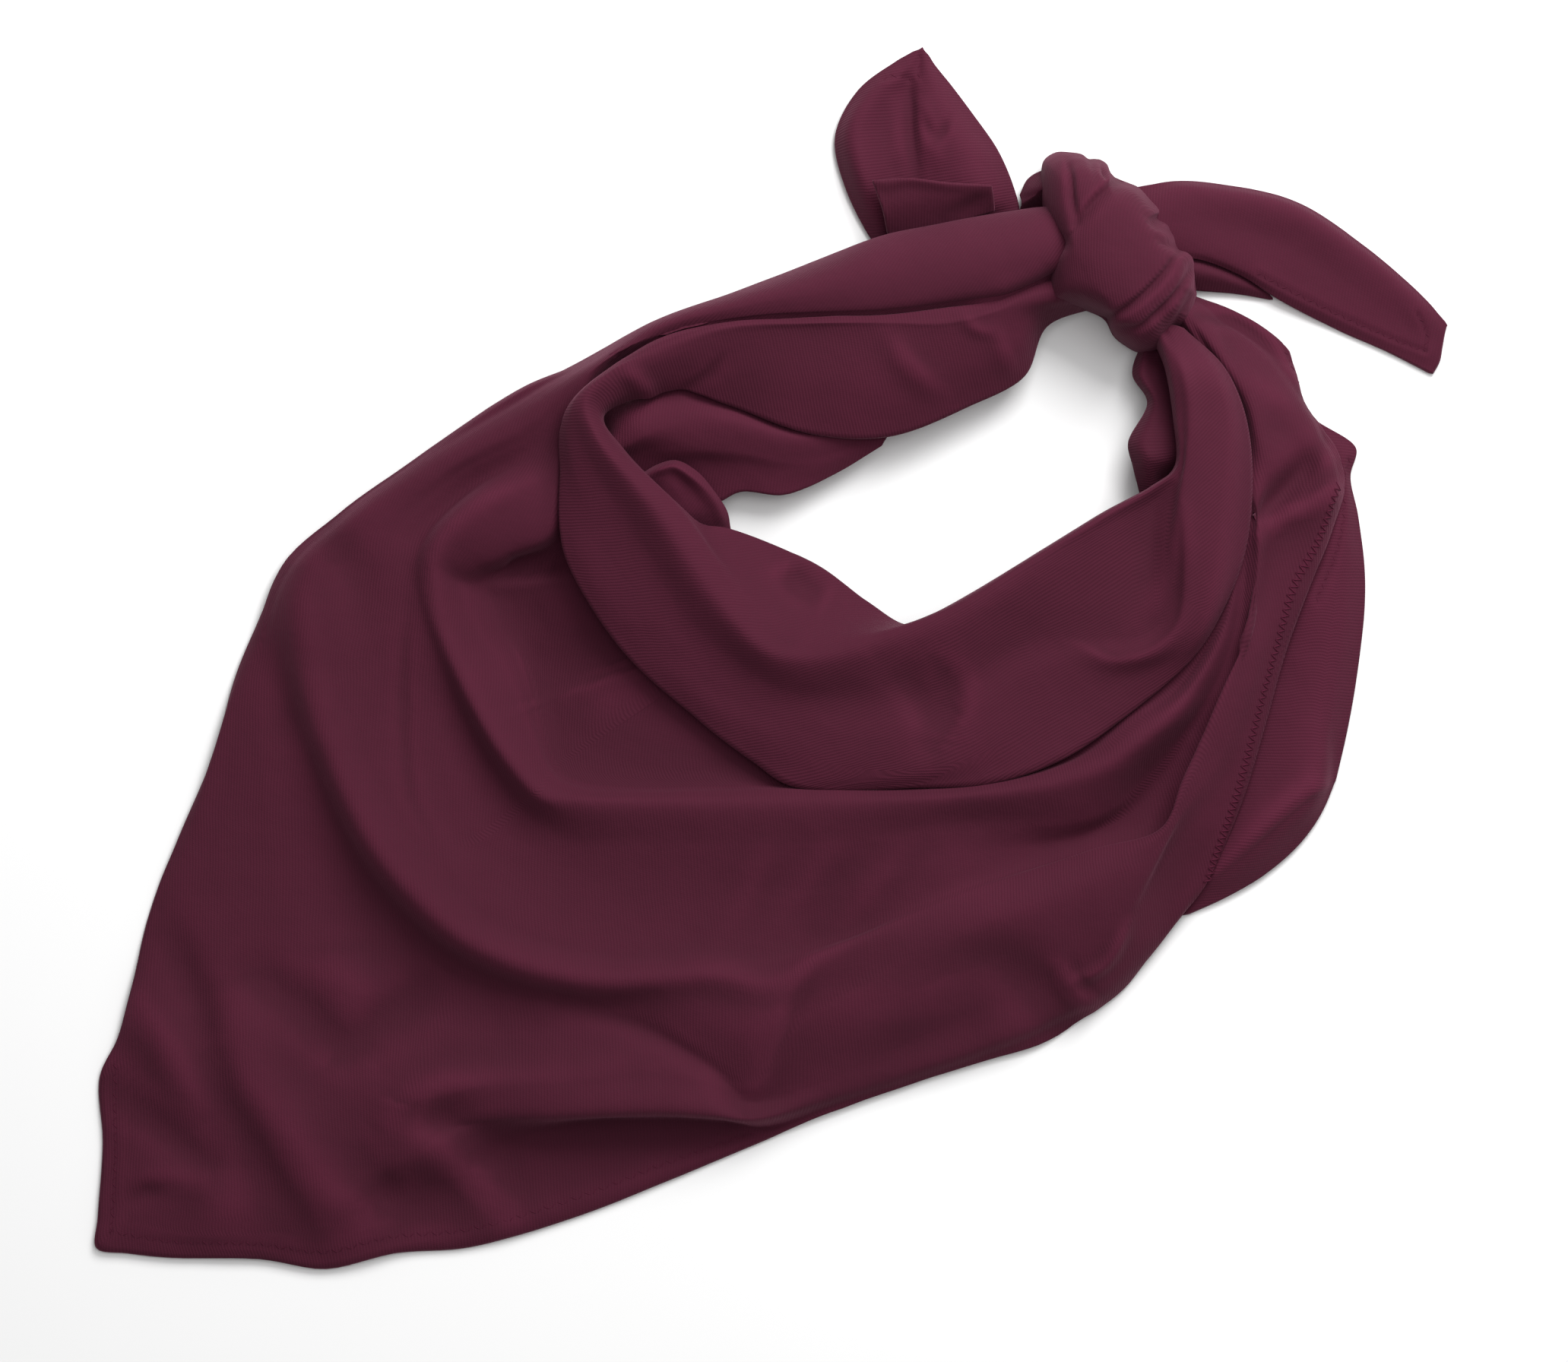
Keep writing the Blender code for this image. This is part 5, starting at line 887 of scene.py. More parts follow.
def twisted_thread():
    """Sewing thread of the cloth's colour made a touch lighter, as painted light against its own shadows,
    with no shine.
    """
    thread = Finish("sewing thread")
    ply = thread.cloud(thread.node("ShaderNodeTexCoord", output="Object"), 2600.0, 1.0)
    return thread.surface(
        Base_Color=thread.scaled(THREAD_WITH_PAINTED_LIGHT, 0.8 + 0.5 * ply),
        Roughness=0.9,
        Normal=thread.relief(ply, 0.4, 0.08),
        Specular_IOR_Level=0.1,
    )


def table_finish():
    """A plain pale table, very faintly clouded."""
    table = Finish("pale table")
    cloud = table.cloud(table.node("ShaderNodeTexCoord", output="Object"), 3.0, 1.0)
    colour = table.scaled(PALE_TABLE, 0.99 + 0.02 * cloud)
    return table.surface(Base_Color=colour, Roughness=0.9, Specular_IOR_Level=0.1)


def spacing(places):
    """Centripetal knots of a row of places."""
    steps = np.sqrt(np.linalg.norm(np.diff(places, axis=0), axis=1)) + 1e-6
    return np.concatenate([[0.0], np.cumsum(steps)])


def spline(places, knots, at):
    """Cubic through the places, with at given in rows and fractions of a row."""
    slopes = np.diff(places, axis=0) / np.diff(knots)[:, None]
    tangents = np.empty_like(places)
    tangents[0] = slopes[0]
    tangents[-1] = slopes[-1]
    before = np.diff(knots)[:-1, None]
    after = np.diff(knots)[1:, None]
    tangents[1:-1] = (slopes[:-1] * after + slopes[1:] * before) / (before + after)
    first = np.clip(np.floor(at).astype(int), 0, len(places) - 2)
    t = (at - first)[:, None]
    span = (knots[first + 1] - knots[first])[:, None]
    start = (1 + 2 * t) * (1 - t) ** 2 * places[first] + t * (1 - t) ** 2 * span * tangents[first]
    end = t**2 * (3 - 2 * t) * places[first + 1] + t**2 * (t - 1) * span * tangents[first + 1]
    return start + end


def between(values, at):
    """Values at rows and fractions of a row, evenly graded from each row to the next."""
    first = np.clip(np.floor(at).astype(int), 0, len(values) - 2)
    share = (at - first)[:, None, None]
    return values[first] * (1 - share) + values[first + 1] * share


def along(row, stations):
    """Points of one fold at the given stations, on a centripetal spline through its row."""
    row = np.array(row, float)
    places = row[:, 1:]
    return spline(places, spacing(places), np.interp(stations, row[:, 0], np.arange(len(row))))


def across(lines, counts):
    """A grid of points: each column of folds joined by a spline with so many steps a gap."""
    at = np.concatenate([i + np.arange(n) / n for i, n in enumerate(counts)] + [[len(counts)]])
    columns = np.swapaxes(np.array(lines), 0, 1)
    return np.array([spline(places, spacing(places), at) for places in columns])


def lofted(folds, stations, counts):
    """The fine grid of a stretch given by its table of folds."""
    at = np.arange((len(stations) - 1) * ALONG + 1) / ALONG
    fine = np.interp(at, np.arange(len(stations)), np.array(stations, float))
    return across([along(row, fine) for row in folds], [count * ACROSS for count in counts])


def arch(crease, tuck, outer, base, height):
    """Points over a roll from its crease, steep at first, to its lower outer edge."""
    angles = np.linspace(0, np.pi, ARM_LINES)
    reach = ((1 - np.cos(angles))[:, None] / 2) ** ARM_LEAN
    plan = np.array(crease) * (1 - reach) + np.array(outer) * reach
    feet = tuck + (base - tuck) * reach[:, 0]
    points = np.column_stack([plan, feet + (height - feet) * np.sin(angles)])
    points[0, 1] -= ARM_TUCK
    points[0, 2] = max(points[0, 2] - ARM_DROP, LYING)
    return points


def folds_of_body():
    """The body's folds, with the left arm's half-round sections put before each row."""
    arches = [
        (station, arch((ax, ay), tuck, (bx, by), base, height))
        for station, ax, ay, tuck, bx, by, base, height in ARM_SECTIONS
    ]
    rows = []
    for number, row in enumerate(BODY.values()):
        rows.append([(station, *points[number]) for station, points in arches] + list(row))
    return rows


def face_normals(grid):
    """Unit normals of a grid of points, upward where the cloth lies open."""
    normals = np.cross(np.gradient(grid, axis=0), np.gradient(grid, axis=1))
    normals /= np.linalg.norm(normals, axis=2, keepdims=True) + 1e-12
    return -normals if normals[..., 2].sum() < 0 else normals


def cell_normals(grid):
    """Normals of a grid's cells, one for each, by their diagonals, twice the cell's area long."""
    return np.cross(grid[1:, 1:] - grid[:-1, :-1], grid[:-1, 1:] - grid[1:, :-1])


def fold_rise(plan, left, right, places):
    """How far one fold lifts each point: full on its line and fading out at either side."""
    places = np.array(places, float)
    at = np.linspace(0, len(places) - 1, FOLD_STEPS * (len(places) - 1) + 1)
    line = spline(places, spacing(places[:, :2]), at)
    rise = np.zeros(plan.shape[:2])
    margin = FOLD_REACH * max(left, right)
    low = line[:, :2].min(axis=0) - margin
    high = line[:, :2].max(axis=0) + margin
    near = ((plan > low) & (plan < high)).all(axis=-1)
    points = plan[near]
    nearest = np.full(len(points), np.inf)
    lift = np.zeros(len(points))
    for start, end in zip(line, line[1:]):
        way = end[:2] - start[:2]
        reach = points - start[:2]
        share = np.clip(reach @ way / (way @ way), 0, 1)
        off = np.linalg.norm(reach - share[:, None] * way, axis=1)
        side = way[0] * reach[:, 1] - way[1] * reach[:, 0]
        off = off / np.where(side > 0, left, right)
        closer = off < nearest
        nearest = np.where(closer, off, nearest)
        lift = np.where(closer, start[2] + share * (end[2] - start[2]), lift)
    rise[near] = lift * np.exp(-(nearest**2))
    return rise


def folds_rise(grid, folds):
    """How far a table of folds lifts each point of a grid."""
    plan = grid[..., :2]
    return sum((fold_rise(plan, left, right, places) for left, right, *places in folds.values()), 0.0)


def uneven(grid, size, seed):
    """Smooth noise at each point of a grid, in bumps about so many millimetres across."""
    places = (grid / size + seed).reshape(-1, 3)
    return np.array([noise.noise(Vector(place)) for place in places]).reshape(grid.shape[:2])


def bedded(height, before):
    """Heights kept off the table: a deep trough flattens out softly just above it."""
    bed = np.minimum(before, LYING - TROUGH_DEPTH)
    ease = np.clip((before - bed) * 0.3, 0.05, 1.3)
    over = (height - bed) / ease
    return bed + ease * (np.maximum(over, 0.0) + np.log1p(np.exp(-np.abs(over))))


def creased(grid, folds, slack, seed):
    """The grid with its folds laid in, and soft uneven slack over it all."""
    rise = folds_rise(grid, folds)
    for size, share in SLACK_BUMPS:
        rise = rise + slack * share * uneven(grid, size, seed)
    moved = grid + face_normals(grid) * rise[..., None]
    moved[..., 2] = bedded(moved[..., 2], grid[..., 2])
    return moved


def hem_of(grid, name):
    """The grid with each of its stitched hems raised or drawn in along its line."""
    for piece, stitch, *places in HEMS.values():
        if piece == name:
            rise = sum(
                fold_rise(grid[..., :2], width, width, [(x, y, height) for x, y in places])
                for width, height in HEM_RELIEF[stitch]
            )
            grid[..., 2] = np.maximum(grid[..., 2] + rise, LYING - HEM_DEPTH)
    return grid


def wall_points(grid, wall):
    """The cloth's lower face: a wall below the upper one, less inside tight folds, off the table."""
    normals = face_normals(grid)
    depth = np.full(grid.shape[:2], wall)
    above = cell_normals(grid)
    for _ in range(WALL_EASING_STEPS):
        lower = grid - normals * depth[..., None]
        lower[..., 2] = np.maximum(lower[..., 2], 0.0)
        turned = (cell_normals(lower) * above).sum(axis=2) <= LEAST_CELL * (above**2).sum(axis=2)
        if not turned.any():
            break
        eased = np.ones(grid.shape[:2], bool)
        eased[:-1, :-1] &= ~turned
        eased[1:, :-1] &= ~turned
        eased[:-1, 1:] &= ~turned
        eased[1:, 1:] &= ~turned
        depth = np.where(eased, depth, np.maximum(depth * WALL_EASING, LEAST_WALL))
    return lower


def first_cut(grid):
    """A rough flat layout of a grid: its middle line rolled out, with the columns square to it."""
    columns, rows = grid.shape[:2]
    middle = rows // 2
    steps_along = np.linalg.norm(np.diff(grid, axis=0), axis=2)
    steps_across = np.linalg.norm(np.diff(grid, axis=1), axis=2)
    reach = np.concatenate([np.zeros((columns, 1)), np.cumsum(steps_across, axis=1)], axis=1)
    width = (reach[1:, -1] + reach[:-1, -1]) / 2 + 1e-6
    turn = np.concatenate([[0.0], np.cumsum((steps_along[:, -1] - steps_along[:, 0]) / width)])
    heading = (turn[1:] + turn[:-1]) / 2
    walk = np.column_stack([np.cos(heading), np.sin(heading)]) * steps_along[:, middle, None]
    base = np.concatenate([[[0.0, 0.0]], np.cumsum(walk, axis=0)])
    aside = np.column_stack([np.sin(turn), -np.cos(turn)])
    return base[:, None, :] + aside[:, None, :] * (reach - reach[:, middle, None])[..., None]


def cut_of(grid):
    """Flat places of the grid's points: the cloth as cut, with each cell kept near its true size."""
    flat = first_cut(grid)
    pairs = (
        ((slice(1, None), slice(None)), (slice(None, -1), slice(None))),
        ((slice(None), slice(1, None)), (slice(None), slice(None, -1))),
        ((slice(1, None), slice(1, None)), (slice(None, -1), slice(None, -1))),
        ((slice(None, -1), slice(1, None)), (slice(1, None), slice(None, -1))),
    )
    lengths = [np.linalg.norm(grid[a] - grid[b], axis=2) for a, b in pairs]
    speed = np.zeros_like(flat)
    for _ in range(FLATTENING_STEPS):
        pull = np.zeros_like(flat)
        count = np.zeros(flat.shape[:2] + (1,))
        for (a, b), length in zip(pairs, lengths):
            gap = flat[a] - flat[b]
            now = np.linalg.norm(gap, axis=2) + 1e-9
            shift = gap * ((length - now) / now / 2)[..., None]
            pull[a] += shift
            pull[b] -= shift
            count[a] += 1
            count[b] += 1
        speed = FLATTENING_GLIDE * speed + pull / count
        flat = flat + speed
    return flat


def laid_weave(grid, weave_at):
    """Places on the cut for every fine point, in metres, with the wales turned the given way at
    one place, and the size of the cut in millimetres."""
    coarse = grid[::ALONG, ::ACROSS]
    flat = cut_of(coarse)
    x, y, angle = weave_at
    # Of the layers over one place, the upper one counts as nearer.
    away = np.linalg.norm(coarse[..., :2] - (x, y), axis=2) - 0.5 * coarse[..., 2]
    inside = away[1:-1, 1:-1]
    i, j = np.unravel_index(np.argmin(inside), inside.shape) + np.array((1, 1))
    plan = coarse[..., :2]
    plan_steps = np.array([plan[i + 1, j] - plan[i - 1, j], plan[i, j + 1] - plan[i, j - 1]])
    flat_steps = np.array([flat[i + 1, j] - flat[i - 1, j], flat[i, j + 1] - flat[i, j - 1]])
    heading = np.array([math.cos(math.radians(angle)), math.sin(math.radians(angle))])
    on_cut = np.linalg.lstsq(plan_steps.T, heading, rcond=None)[0] @ flat_steps
    on_cut /= np.linalg.norm(on_cut)
    turned = np.stack([flat @ (on_cut[1], -on_cut[0]), flat @ on_cut], axis=-1)
    fine = between(turned, np.arange(grid.shape[0]) / ALONG)
    fine = between(np.swapaxes(fine, 0, 1), np.arange(grid.shape[1]) / ACROSS)
    return np.swapaxes(fine, 0, 1) * MM, np.ptp(flat.reshape(-1, 2), axis=0)


def crest_wear_and_hollow_shade(grid):
    """How much lighter each point is coloured: up to 1 on the crests of folds, for wear and as painted
    highlight, and below 0 in their hollows, as painted shade.
    """
    spread = CREST_REACH
    padded = np.pad(grid, ((spread, spread), (spread, spread), (0, 0)), mode="edge")
    columns, rows = grid.shape[:2]
    mean = sum(
        padded[spread + a : spread + a + columns, spread + b : spread + b + rows]
        for a, b in ((-spread, 0), (spread, 0), (0, -spread), (0, spread))
    ) / 4
    bulge = ((grid - mean) * face_normals(grid)).sum(axis=2)
    return np.clip(bulge / CREST_BULGE, HOLLOW_PAINTED_SHADE, 1.0)


def cloth_object(name, points, faces, weave, wear_and_shade, finish):
    """A closed piece of cloth from points in millimetres, each with its place on the cut and its mask of
    crest wear, painted highlight and painted hollow shade.
    """
    mesh = bpy.data.meshes.new(name)
    mesh.from_pydata((points * MM).tolist(), [], faces)
    corners = np.empty(len(mesh.loops), np.int32)
    mesh.loops.foreach_get("vertex_index", corners)
    cut = mesh.uv_layers.new(name="cut")
    cut.data.foreach_set("uv", weave[corners].astype(np.float32).ravel())
    wear = mesh.attributes.new("wear_and_shade", "FLOAT", "POINT")
    wear.data.foreach_set("value", wear_and_shade.astype(np.float32).ravel())
    mesh.validate()
    work = bmesh.new()
    work.from_mesh(mesh)
    bmesh.ops.recalc_face_normals(work, faces=work.faces)
    work.to_mesh(mesh)
    work.free()
    mesh.shade_smooth()
    mesh.materials.append(finish)
    piece = bpy.data.objects.new(name, mesh)
    bpy.context.scene.collection.objects.link(piece)
    return piece


def rim_places(columns, rows):
    """(column, row) round the border of a grid, in order."""
    border = [(i, 0) for i in range(columns)]
    border += [(columns - 1, j) for j in range(1, rows)]
    border += [(i, rows - 1) for i in range(columns - 2, -1, -1)]
    border += [(0, j) for j in range(rows - 2, 0, -1)]
    return border


def rim_bead(grid, lower, border):
    """The points of the rounded rim, one for each place on the border."""
    columns, rows = grid.shape[:2]
    bead = []
    for i, j in border:
        inner = grid[min(max(i, 1), columns - 2), min(max(j, 1), rows - 2)]
        outward = grid[i, j] - inner
        outward /= np.linalg.norm(outward) + 1e-9
        thick = np.linalg.norm(grid[i, j] - lower[i, j])
        bead.append((grid[i, j] + lower[i, j]) / 2 + outward * RIM_REACH * thick)
    return np.array(bead)


def cell_faces(first, columns, rows):
    """Faces of a grid whose points are numbered from first."""
    faces = []
    for i in range(columns - 1):
        for j in range(rows - 1):
            corner = first + i * rows + j
            faces.append((corner, corner + rows, corner + rows + 1, corner + 1))
    return faces


def rim_faces(border, rows, first_bead, first_low, low_rows):
    """Faces from the upper face's border to the bead, and on to the coarser lower face."""
    count = len(border)
    faces = []
    for k, (i, j) in enumerate(border):
        after = (k + 1) % count
        there = border[after]
        faces.append((there[0] * rows + there[1], i * rows + j, first_bead + k, first_bead + after))
    marks = [k for k, (i, j) in enumerate(border) if i % UNDER == 0 and j % UNDER == 0]
    for k, last in zip(marks, marks[1:] + [count]):
        bead = [first_bead + n % count for n in range(k, last + 1)]
        ends = (border[k], border[last % count])
        low = [first_low + (i // UNDER) * low_rows + j // UNDER for i, j in ends]
        faces.append(tuple(bead[::-1] + low))
    return faces


def sheet_object(name, grid, weave_at, finish, wall):
    """A stretch of cloth as a closed thin shell: fine above, coarser below, with a rounded rim."""
    columns, rows = grid.shape[:2]
    weave, size = laid_weave(grid, weave_at)
    lower = wall_points(grid, wall)
    coarse = lower[::UNDER, ::UNDER]
    border = rim_places(columns, rows)
    bead = rim_bead(grid, lower, border)
    points = np.concatenate([grid.reshape(-1, 3), bead, coarse.reshape(-1, 3)])
    first_bead = columns * rows
    first_low = first_bead + len(border)
    faces = cell_faces(0, columns, rows)
    faces += [face[:1] + face[:0:-1] for face in cell_faces(first_low, *coarse.shape[:2])]
    faces += rim_faces(border, rows, first_bead, first_low, coarse.shape[1])
    bead_weave = [weave[i, j] for i, j in border]
    all_weave = np.concatenate([weave.reshape(-1, 2), bead_weave, weave[::UNDER, ::UNDER].reshape(-1, 2)])
    # Colour mask: crests lighter for wear and as painted highlight, hollows darker as painted shade, the
    # rim lighter.
    wear_and_shade = np.zeros(len(points))
    wear_and_shade[:first_bead] = crest_wear_and_hollow_shade(grid).ravel()
    wear_and_shade[first_bead:first_low] = RIM_LIGHTENING
    area = np.linalg.norm(cell_normals(grid), axis=2).sum() / 2
    print(f"cut of {name}: {size[0]:.0f} x {size[1]:.0f} mm, {area:.0f} mm2, {len(points)} points")
    return cloth_object(name, points, faces, all_weave, wear_and_shade, finish)


def knot_grid():
    """The knot's outer face as rings round its top: rounder at the top, its outline lower down."""
    edge = np.array(KNOT_EDGE + KNOT_EDGE[:1])
    turns = np.linspace(0, len(edge) - 1, KNOT_COLUMNS + 1)[:-1]
    outline = spline(edge, spacing(edge), turns)
    profile = np.array(KNOT_PROFILE)
    at = np.linspace(0, len(profile) - 1, KNOT_ROWS)
    levels = spline(profile, spacing(profile * (KNOT_RADIUS, 1.0)), at)
    blur = range(-KNOT_ROUNDING, KNOT_ROUNDING + 1)
    rounder = sum(np.roll(outline, step, axis=0) for step in blur) / len(blur)
    rings = []
    for share, height in levels:
        nearness = np.clip((share - KNOT_ROUND) / KNOT_BLEND, 0, 1)
        shape = rounder + (outline - rounder) * nearness
        ring = np.array(KNOT_TOP) + (shape - KNOT_TOP) * max(share, 0.004)
        rings.append(np.column_stack([ring, np.full(len(ring), height)]))
    return np.swapaxes(np.array(rings), 0, 1)


def knot_creased(grid):
    """The knot's grid with each band's crease drawn in, and plain where it lies on the table."""
    closed = np.concatenate([grid, grid[:1]])
    normals = face_normals(closed)
    inward = ((closed - np.array([*KNOT_TOP, KNOT_HEART])) * normals).sum(axis=2) < 0
    normals[inward] = -normals[inward]
    rise = folds_rise(closed, KNOT_FOLDS)
    for size, height in KNOT_BUMPS:
        rise = rise + height * uneven(closed, size, KNOT_SEED)
    rise[closed[..., 2] < KNOT_PLAIN] = 0.0
    closed += normals * rise[..., None]
    closed[..., 2] = np.maximum(closed[..., 2], 0.05)
    return closed[:-1]


def knot_object(finish):
    """The knot as one closed piece."""
    grid = knot_creased(knot_grid())
    turns, levels = grid.shape[:2]
    faces = []
    for i in range(turns):
        here = i * levels
        after = (i + 1) % turns * levels
        faces += [(here + j, here + j + 1, after + j + 1, after + j) for j in range(levels - 1)]
    faces.append(tuple(i * levels for i in range(turns)))
    faces.append(tuple(i * levels + levels - 1 for i in range(turns))[::-1])
    points = grid.reshape(-1, 3)
    weave = (points[:, :2] + points[:, 2:3] * KNOT_WEAVE_SHIFT) * MM
    return cloth_object("knot_cloth", points, faces, weave, crest_wear_and_hollow_shade(grid), finish)


def stitching_tree(finish):
    """Stitches along a line: threads at an even pitch, slanted one way and the other."""
    tree = bpy.data.node_groups.new("stitches", "GeometryNodeTree")
    tree.interface.new_socket("Line", in_out="INPUT", socket_type="NodeSocketGeometry")
    for name in STITCH_SIZES:
        tree.interface.new_socket(name, in_out="INPUT", socket_type="NodeSocketFloat")
    tree.interface.new_socket("Stitches", in_out="OUTPUT", socket_type="NodeSocketGeometry")
    group = Network(tree)
    line = group.node("NodeGroupInput", output="Line")
    pitch, length, thickness, slant = (group.node("NodeGroupInput", output=name) for name in STITCH_SIZES)
    curve = group.node("GeometryNodeMeshToCurve", {}, {"Mesh": line})
    spaced = group.node("GeometryNodeResampleCurve", {"mode": "LENGTH"}, {"Curve": curve, "Length": pitch})
    thread = group.node("GeometryNodeMeshUVSphere", {}, {"Segments": 6, "Rings": 6, "Radius": 0.5})
    size = group.node("ShaderNodeCombineXYZ", {}, {"X": length, "Y": thickness, "Z": thickness})
    heading = group.node("GeometryNodeInputTangent")
    up = group.node(
        "GeometryNodeInputNamedAttribute", {"data_type": "FLOAT_VECTOR"}, {"Name": "up"}, "Attribute"
    )
    upright = group.node(
        "FunctionNodeAxesToRotation",
        {"primary_axis": "Z", "secondary_axis": "X"},
        {"Primary Axis": up, "Secondary Axis": heading},
    )
    side = group.node("GeometryNodeInputIndex").modulo(2.0) * -2.0 + 1.0
    lean = group.node("ShaderNodeCombineXYZ", {}, {"Z": side * slant})
    spin = group.node("FunctionNodeEulerToRotation", {}, {0: lean})
    turned = group.node(
        "FunctionNodeRotateRotation", {"rotation_space": "LOCAL"}, {"Rotation": upright, "Rotate By": spin}
    )
    placed = group.node(
        "GeometryNodeInstanceOnPoints",
        {},
        {"Points": spaced, "Instance": thread, "Rotation": turned, "Scale": size},
    )
    real = group.node("GeometryNodeRealizeInstances", {}, {"Geometry": placed})
    finished = group.node("GeometryNodeSetMaterial", {}, {"Geometry": real, "Material": finish})
    end = tree.nodes.new("NodeGroupOutput")
    group.put(end.inputs["Stitches"], finished)
    return tree


def surface_line(piece, places):
    """Points and normals of a line of places in plan, dropped onto a piece from above."""
    mesh = piece.data
    corners = [v.co for v in mesh.vertices]
    tree = BVHTree.FromPolygons(corners, [tuple(p.vertices) for p in mesh.polygons])
    places = np.array(places, float)
    at = np.linspace(0, len(places) - 1, STITCH_LINE_STEPS * (len(places) - 1) + 1)
    found = []
    for x, y in spline(places, spacing(places), at) * MM:
        spot, normal, _, _ = tree.ray_cast(Vector((x, y, 0.1)), Vector((0, 0, -1)))
        if spot is not None:
            found.append((spot + normal * STITCH_LIFT * MM, normal))
    return found


def stitches(name, piece, stitch, places, tree):
    """One line of stitches on a piece, as a plain mesh."""
    pitch, length, thickness, slant = STITCHES[stitch]
    found = surface_line(piece, places)
    line = bpy.data.meshes.new(name)
    steps = [(k, k + 1) for k in range(len(found) - 1)]
    line.from_pydata([tuple(spot) for spot, _ in found], steps, [])
    up = line.attributes.new("up", "FLOAT_VECTOR", "POINT")
    up.data.foreach_set("vector", np.array([tuple(normal) for _, normal in found], np.float32).ravel())
    carrier = bpy.data.objects.new(f"{name} line", line)
    bpy.context.scene.collection.objects.link(carrier)
    maker = carrier.modifiers.new("stitches", "NODES")
    maker.node_group = tree
    values = (pitch * MM, length * MM, thickness * MM, math.radians(slant))
    sizes = dict(zip(STITCH_SIZES, values))
    for socket in tree.interface.items_tree:
        if socket.in_out == "INPUT" and socket.name in sizes:
            maker[socket.identifier] = sizes[socket.name]
    bpy.context.view_layer.update()
    graph = bpy.context.evaluated_depsgraph_get()
    mesh = bpy.data.meshes.new_from_object(carrier.evaluated_get(graph))
    bpy.data.objects.remove(carrier, do_unlink=True)
    mesh.shade_smooth()
    made = bpy.data.objects.new(name.replace(" ", "_"), mesh)
    bpy.context.scene.collection.objects.link(made)
    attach(made, "root")
    return made


def look_down():
    """The camera, straight above through a long lens."""
    data = bpy.data.cameras.new("long lens")
    data.lens = LENS
    data.sensor_width = SENSOR
    camera = bpy.data.objects.new("camera above", data)
    x, y = PHOTO_CENTRE
    camera.location = (x * MM, y * MM, LENS / SENSOR * PHOTO_WIDTH * MM)
    bpy.context.scene.collection.objects.link(camera)
    bpy.context.scene.camera = camera


def soft_light(name, place, size, power):
    """A large square lamp turned to the middle of the table."""
    data = bpy.data.lights.new(name, "AREA")
    data.size = size
    data.energy = power
    lamp = bpy.data.objects.new(name, data)
    lamp.location = place
    lamp.rotation_euler = (-Vector(place)).to_track_quat("-Z", "Y").to_euler()
    bpy.context.scene.collection.objects.link(lamp)


def studio():
    """A pale table, a window of light from the far side and an even glow from all round."""
    mesh = bpy.data.meshes.new("table_top")
    mesh.from_pydata([(-4, -4, 0), (4, -4, 0), (4, 4, 0), (-4, 4, 0)], [], [(0, 1, 2, 3)])
    mesh.materials.append(table_finish())
    table = bpy.data.objects.new("table_top", mesh)
    bpy.context.scene.collection.objects.link(table)
    soft_light("far window", place=(0.34, 0.72, 0.70), size=0.52, power=11.6)
    soft_light("overhead", place=(0.30, 0.35, 1.5), size=1.0, power=8.0)
    world = bpy.data.worlds.new("even glow")
    world.use_nodes = True
    glow = world.node_tree.nodes["Background"].inputs
    glow["Color"].default_value = (1.0, 1.0, 1.0, 1.0)
    glow["Strength"].default_value = 0.36
    bpy.context.scene.world = world
    bpy.context.scene.view_settings.view_transform = "Standard"


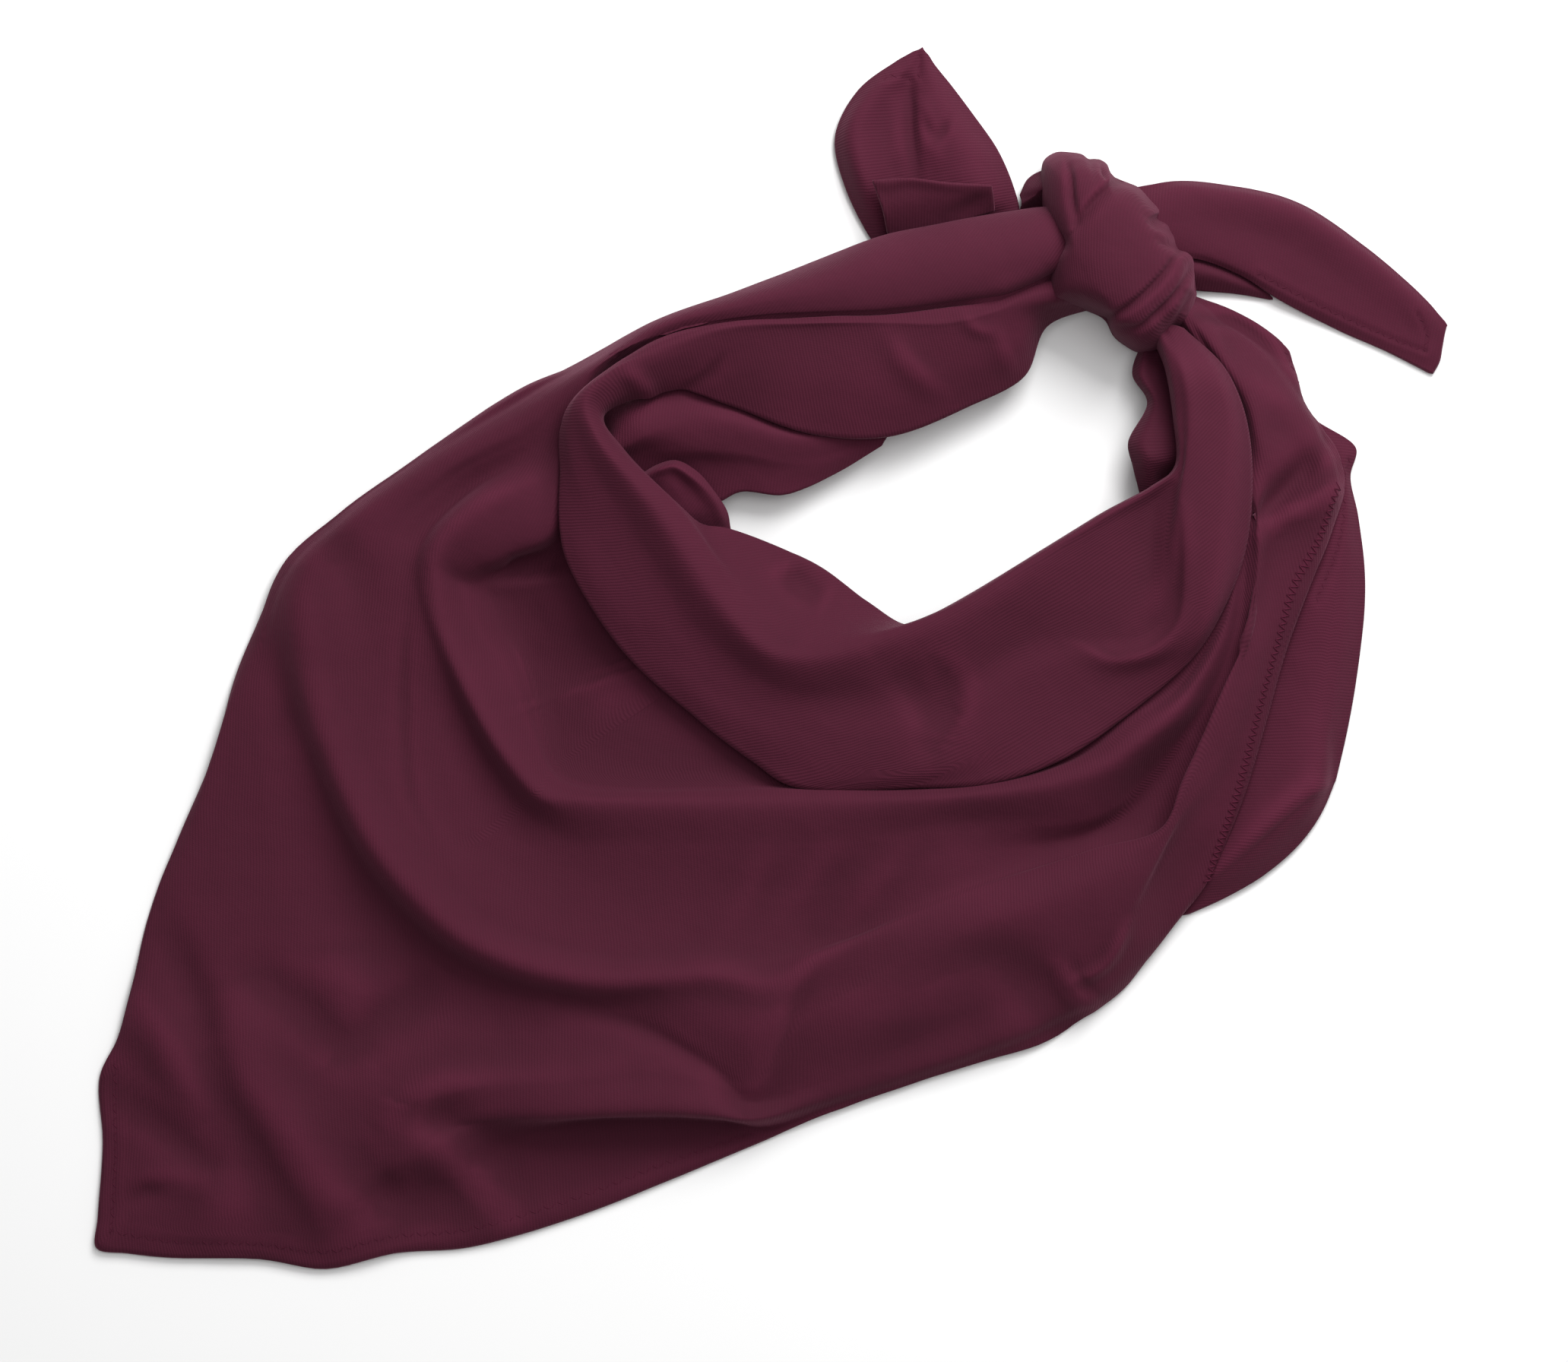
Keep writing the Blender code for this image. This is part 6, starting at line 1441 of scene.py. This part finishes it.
def stretches():
    """Each stretch's folds, stations, steps across, folds laid in, slack, (x, y, way of the wales
    there in degrees), brightness of the dye (painted light and shade, with the reverse face's own tone in
    it) and wall."""
    even = np.linspace
    under_stations = (0, 0.1, 0.2, 0.3, 0.4, 0.5, *even(0.75, 4.25, 15), 4.5, 4.75, 5)
    # Second last in each row: how light the dye is, as painted light and shade with the reverse face's own
    # tone.
    return {
        "body": (
            folds_of_body(), BODY_STATIONS, BODY_ACROSS, BODY_FOLDS, 0.55, (-120, -100, 90), 1.0, WALL,
        ),
        "neck_band": (
            BAND.values(), BAND_STATIONS, BAND_ACROSS, BAND_FOLDS, 0.4, (-40, 40, 0), 1.03, WALL,
        ),
        "inner_roll": (
            INNER_ROLL.values(), even(0, 4, 21), (2, 2, 2, 2, 2), NO_FOLDS, 0.4, (5, 58, 80), 1.1, 1.0,
        ),
        "inner_curl": (
            INNER_CURL.values(), even(0, 6, 17), (2, 2, 1, 1), NO_FOLDS, 0.2, (-27, 50, 60), 1.15, 0.9,
        ),
        "inner_flap": (
            INNER_FLAP.values(), even(0, 6, 17), (1, 2, 1), NO_FOLDS, 0.2, (104, 60, 0), 0.92, 1.0,
        ),
        "under_layer": (
            UNDER_LAYER.values(), under_stations, (2, 2, 3), UNDER_FOLDS, 0.4, (150, 10, 0), 1.08, WALL,
        ),
        "left_tail": (
            LEFT_TAIL.values(), even(0, 6, 19), (2, 3, 3, 2), LEFT_TAIL_FOLDS, 0.4, (45, 150, 10),
            1.05, WALL,
        ),
        "left_tail_root": (
            LEFT_ROOT.values(), even(0, 3, 8), (1, 3, 3), ROOT_FOLDS, 0.3, (73, 127, 90), 0.98, 1.0,
        ),
        "left_tail_front": (
            LEFT_POCKET.values(), even(0, 3, 10), (2, 2), LEFT_POCKET_FOLDS, 0.3, (45, 127, 90),
            0.96, 1.0,
        ),
        "right_tail": (
            RIGHT_TAIL.values(), even(0, 6, 21), (2, 2, 2, 2), RIGHT_TAIL_FOLDS, 0.6, (150, 105, 80),
            1.04, WALL,
        ),
        "right_tail_layer": (
            TAIL_LAYER.values(), even(0, 3, 8), (2, 2), NO_FOLDS, 0.2, (125, 103, 80), 0.9, 1.0,
        ),
    }


def dress():
    """Every stretch of the cloth, in the order it was folded, and the knot."""
    made = {}
    for number, (name, row) in enumerate(stretches().items()):
        folds, stations, counts, laid, slack, weave_at, tone_and_painted_light, wall = row
        grid = creased(lofted(folds, stations, counts), laid, slack, number * SEED_STEP + 1.0)
        finish = twill(f"{name} twill", tone_and_painted_light)
        made[name] = sheet_object(f"{name}_cloth", hem_of(grid, name), weave_at, finish, wall)
    made["knot"] = knot_object(twill("knot twill", 1.0))
    return made


def sew(made):
    """The stitches on every hem, each line on its own piece."""
    tree = stitching_tree(twisted_thread())
    sewn = {}
    for name, (piece, stitch, *places) in HEMS.items():
        sewn.setdefault(piece, []).append(stitches(name, made[piece], stitch, places, tree))
    return sewn


def seated(piece, node):
    """Puts a finished piece in the frame: hides the part it stands for and hangs the piece on the root."""
    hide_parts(node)
    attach(piece, "root")


def main():
    look_down()
    studio()
    made = dress()
    sewn = sew(made)
    for name, piece in made.items():
        seated(piece, name)


main()
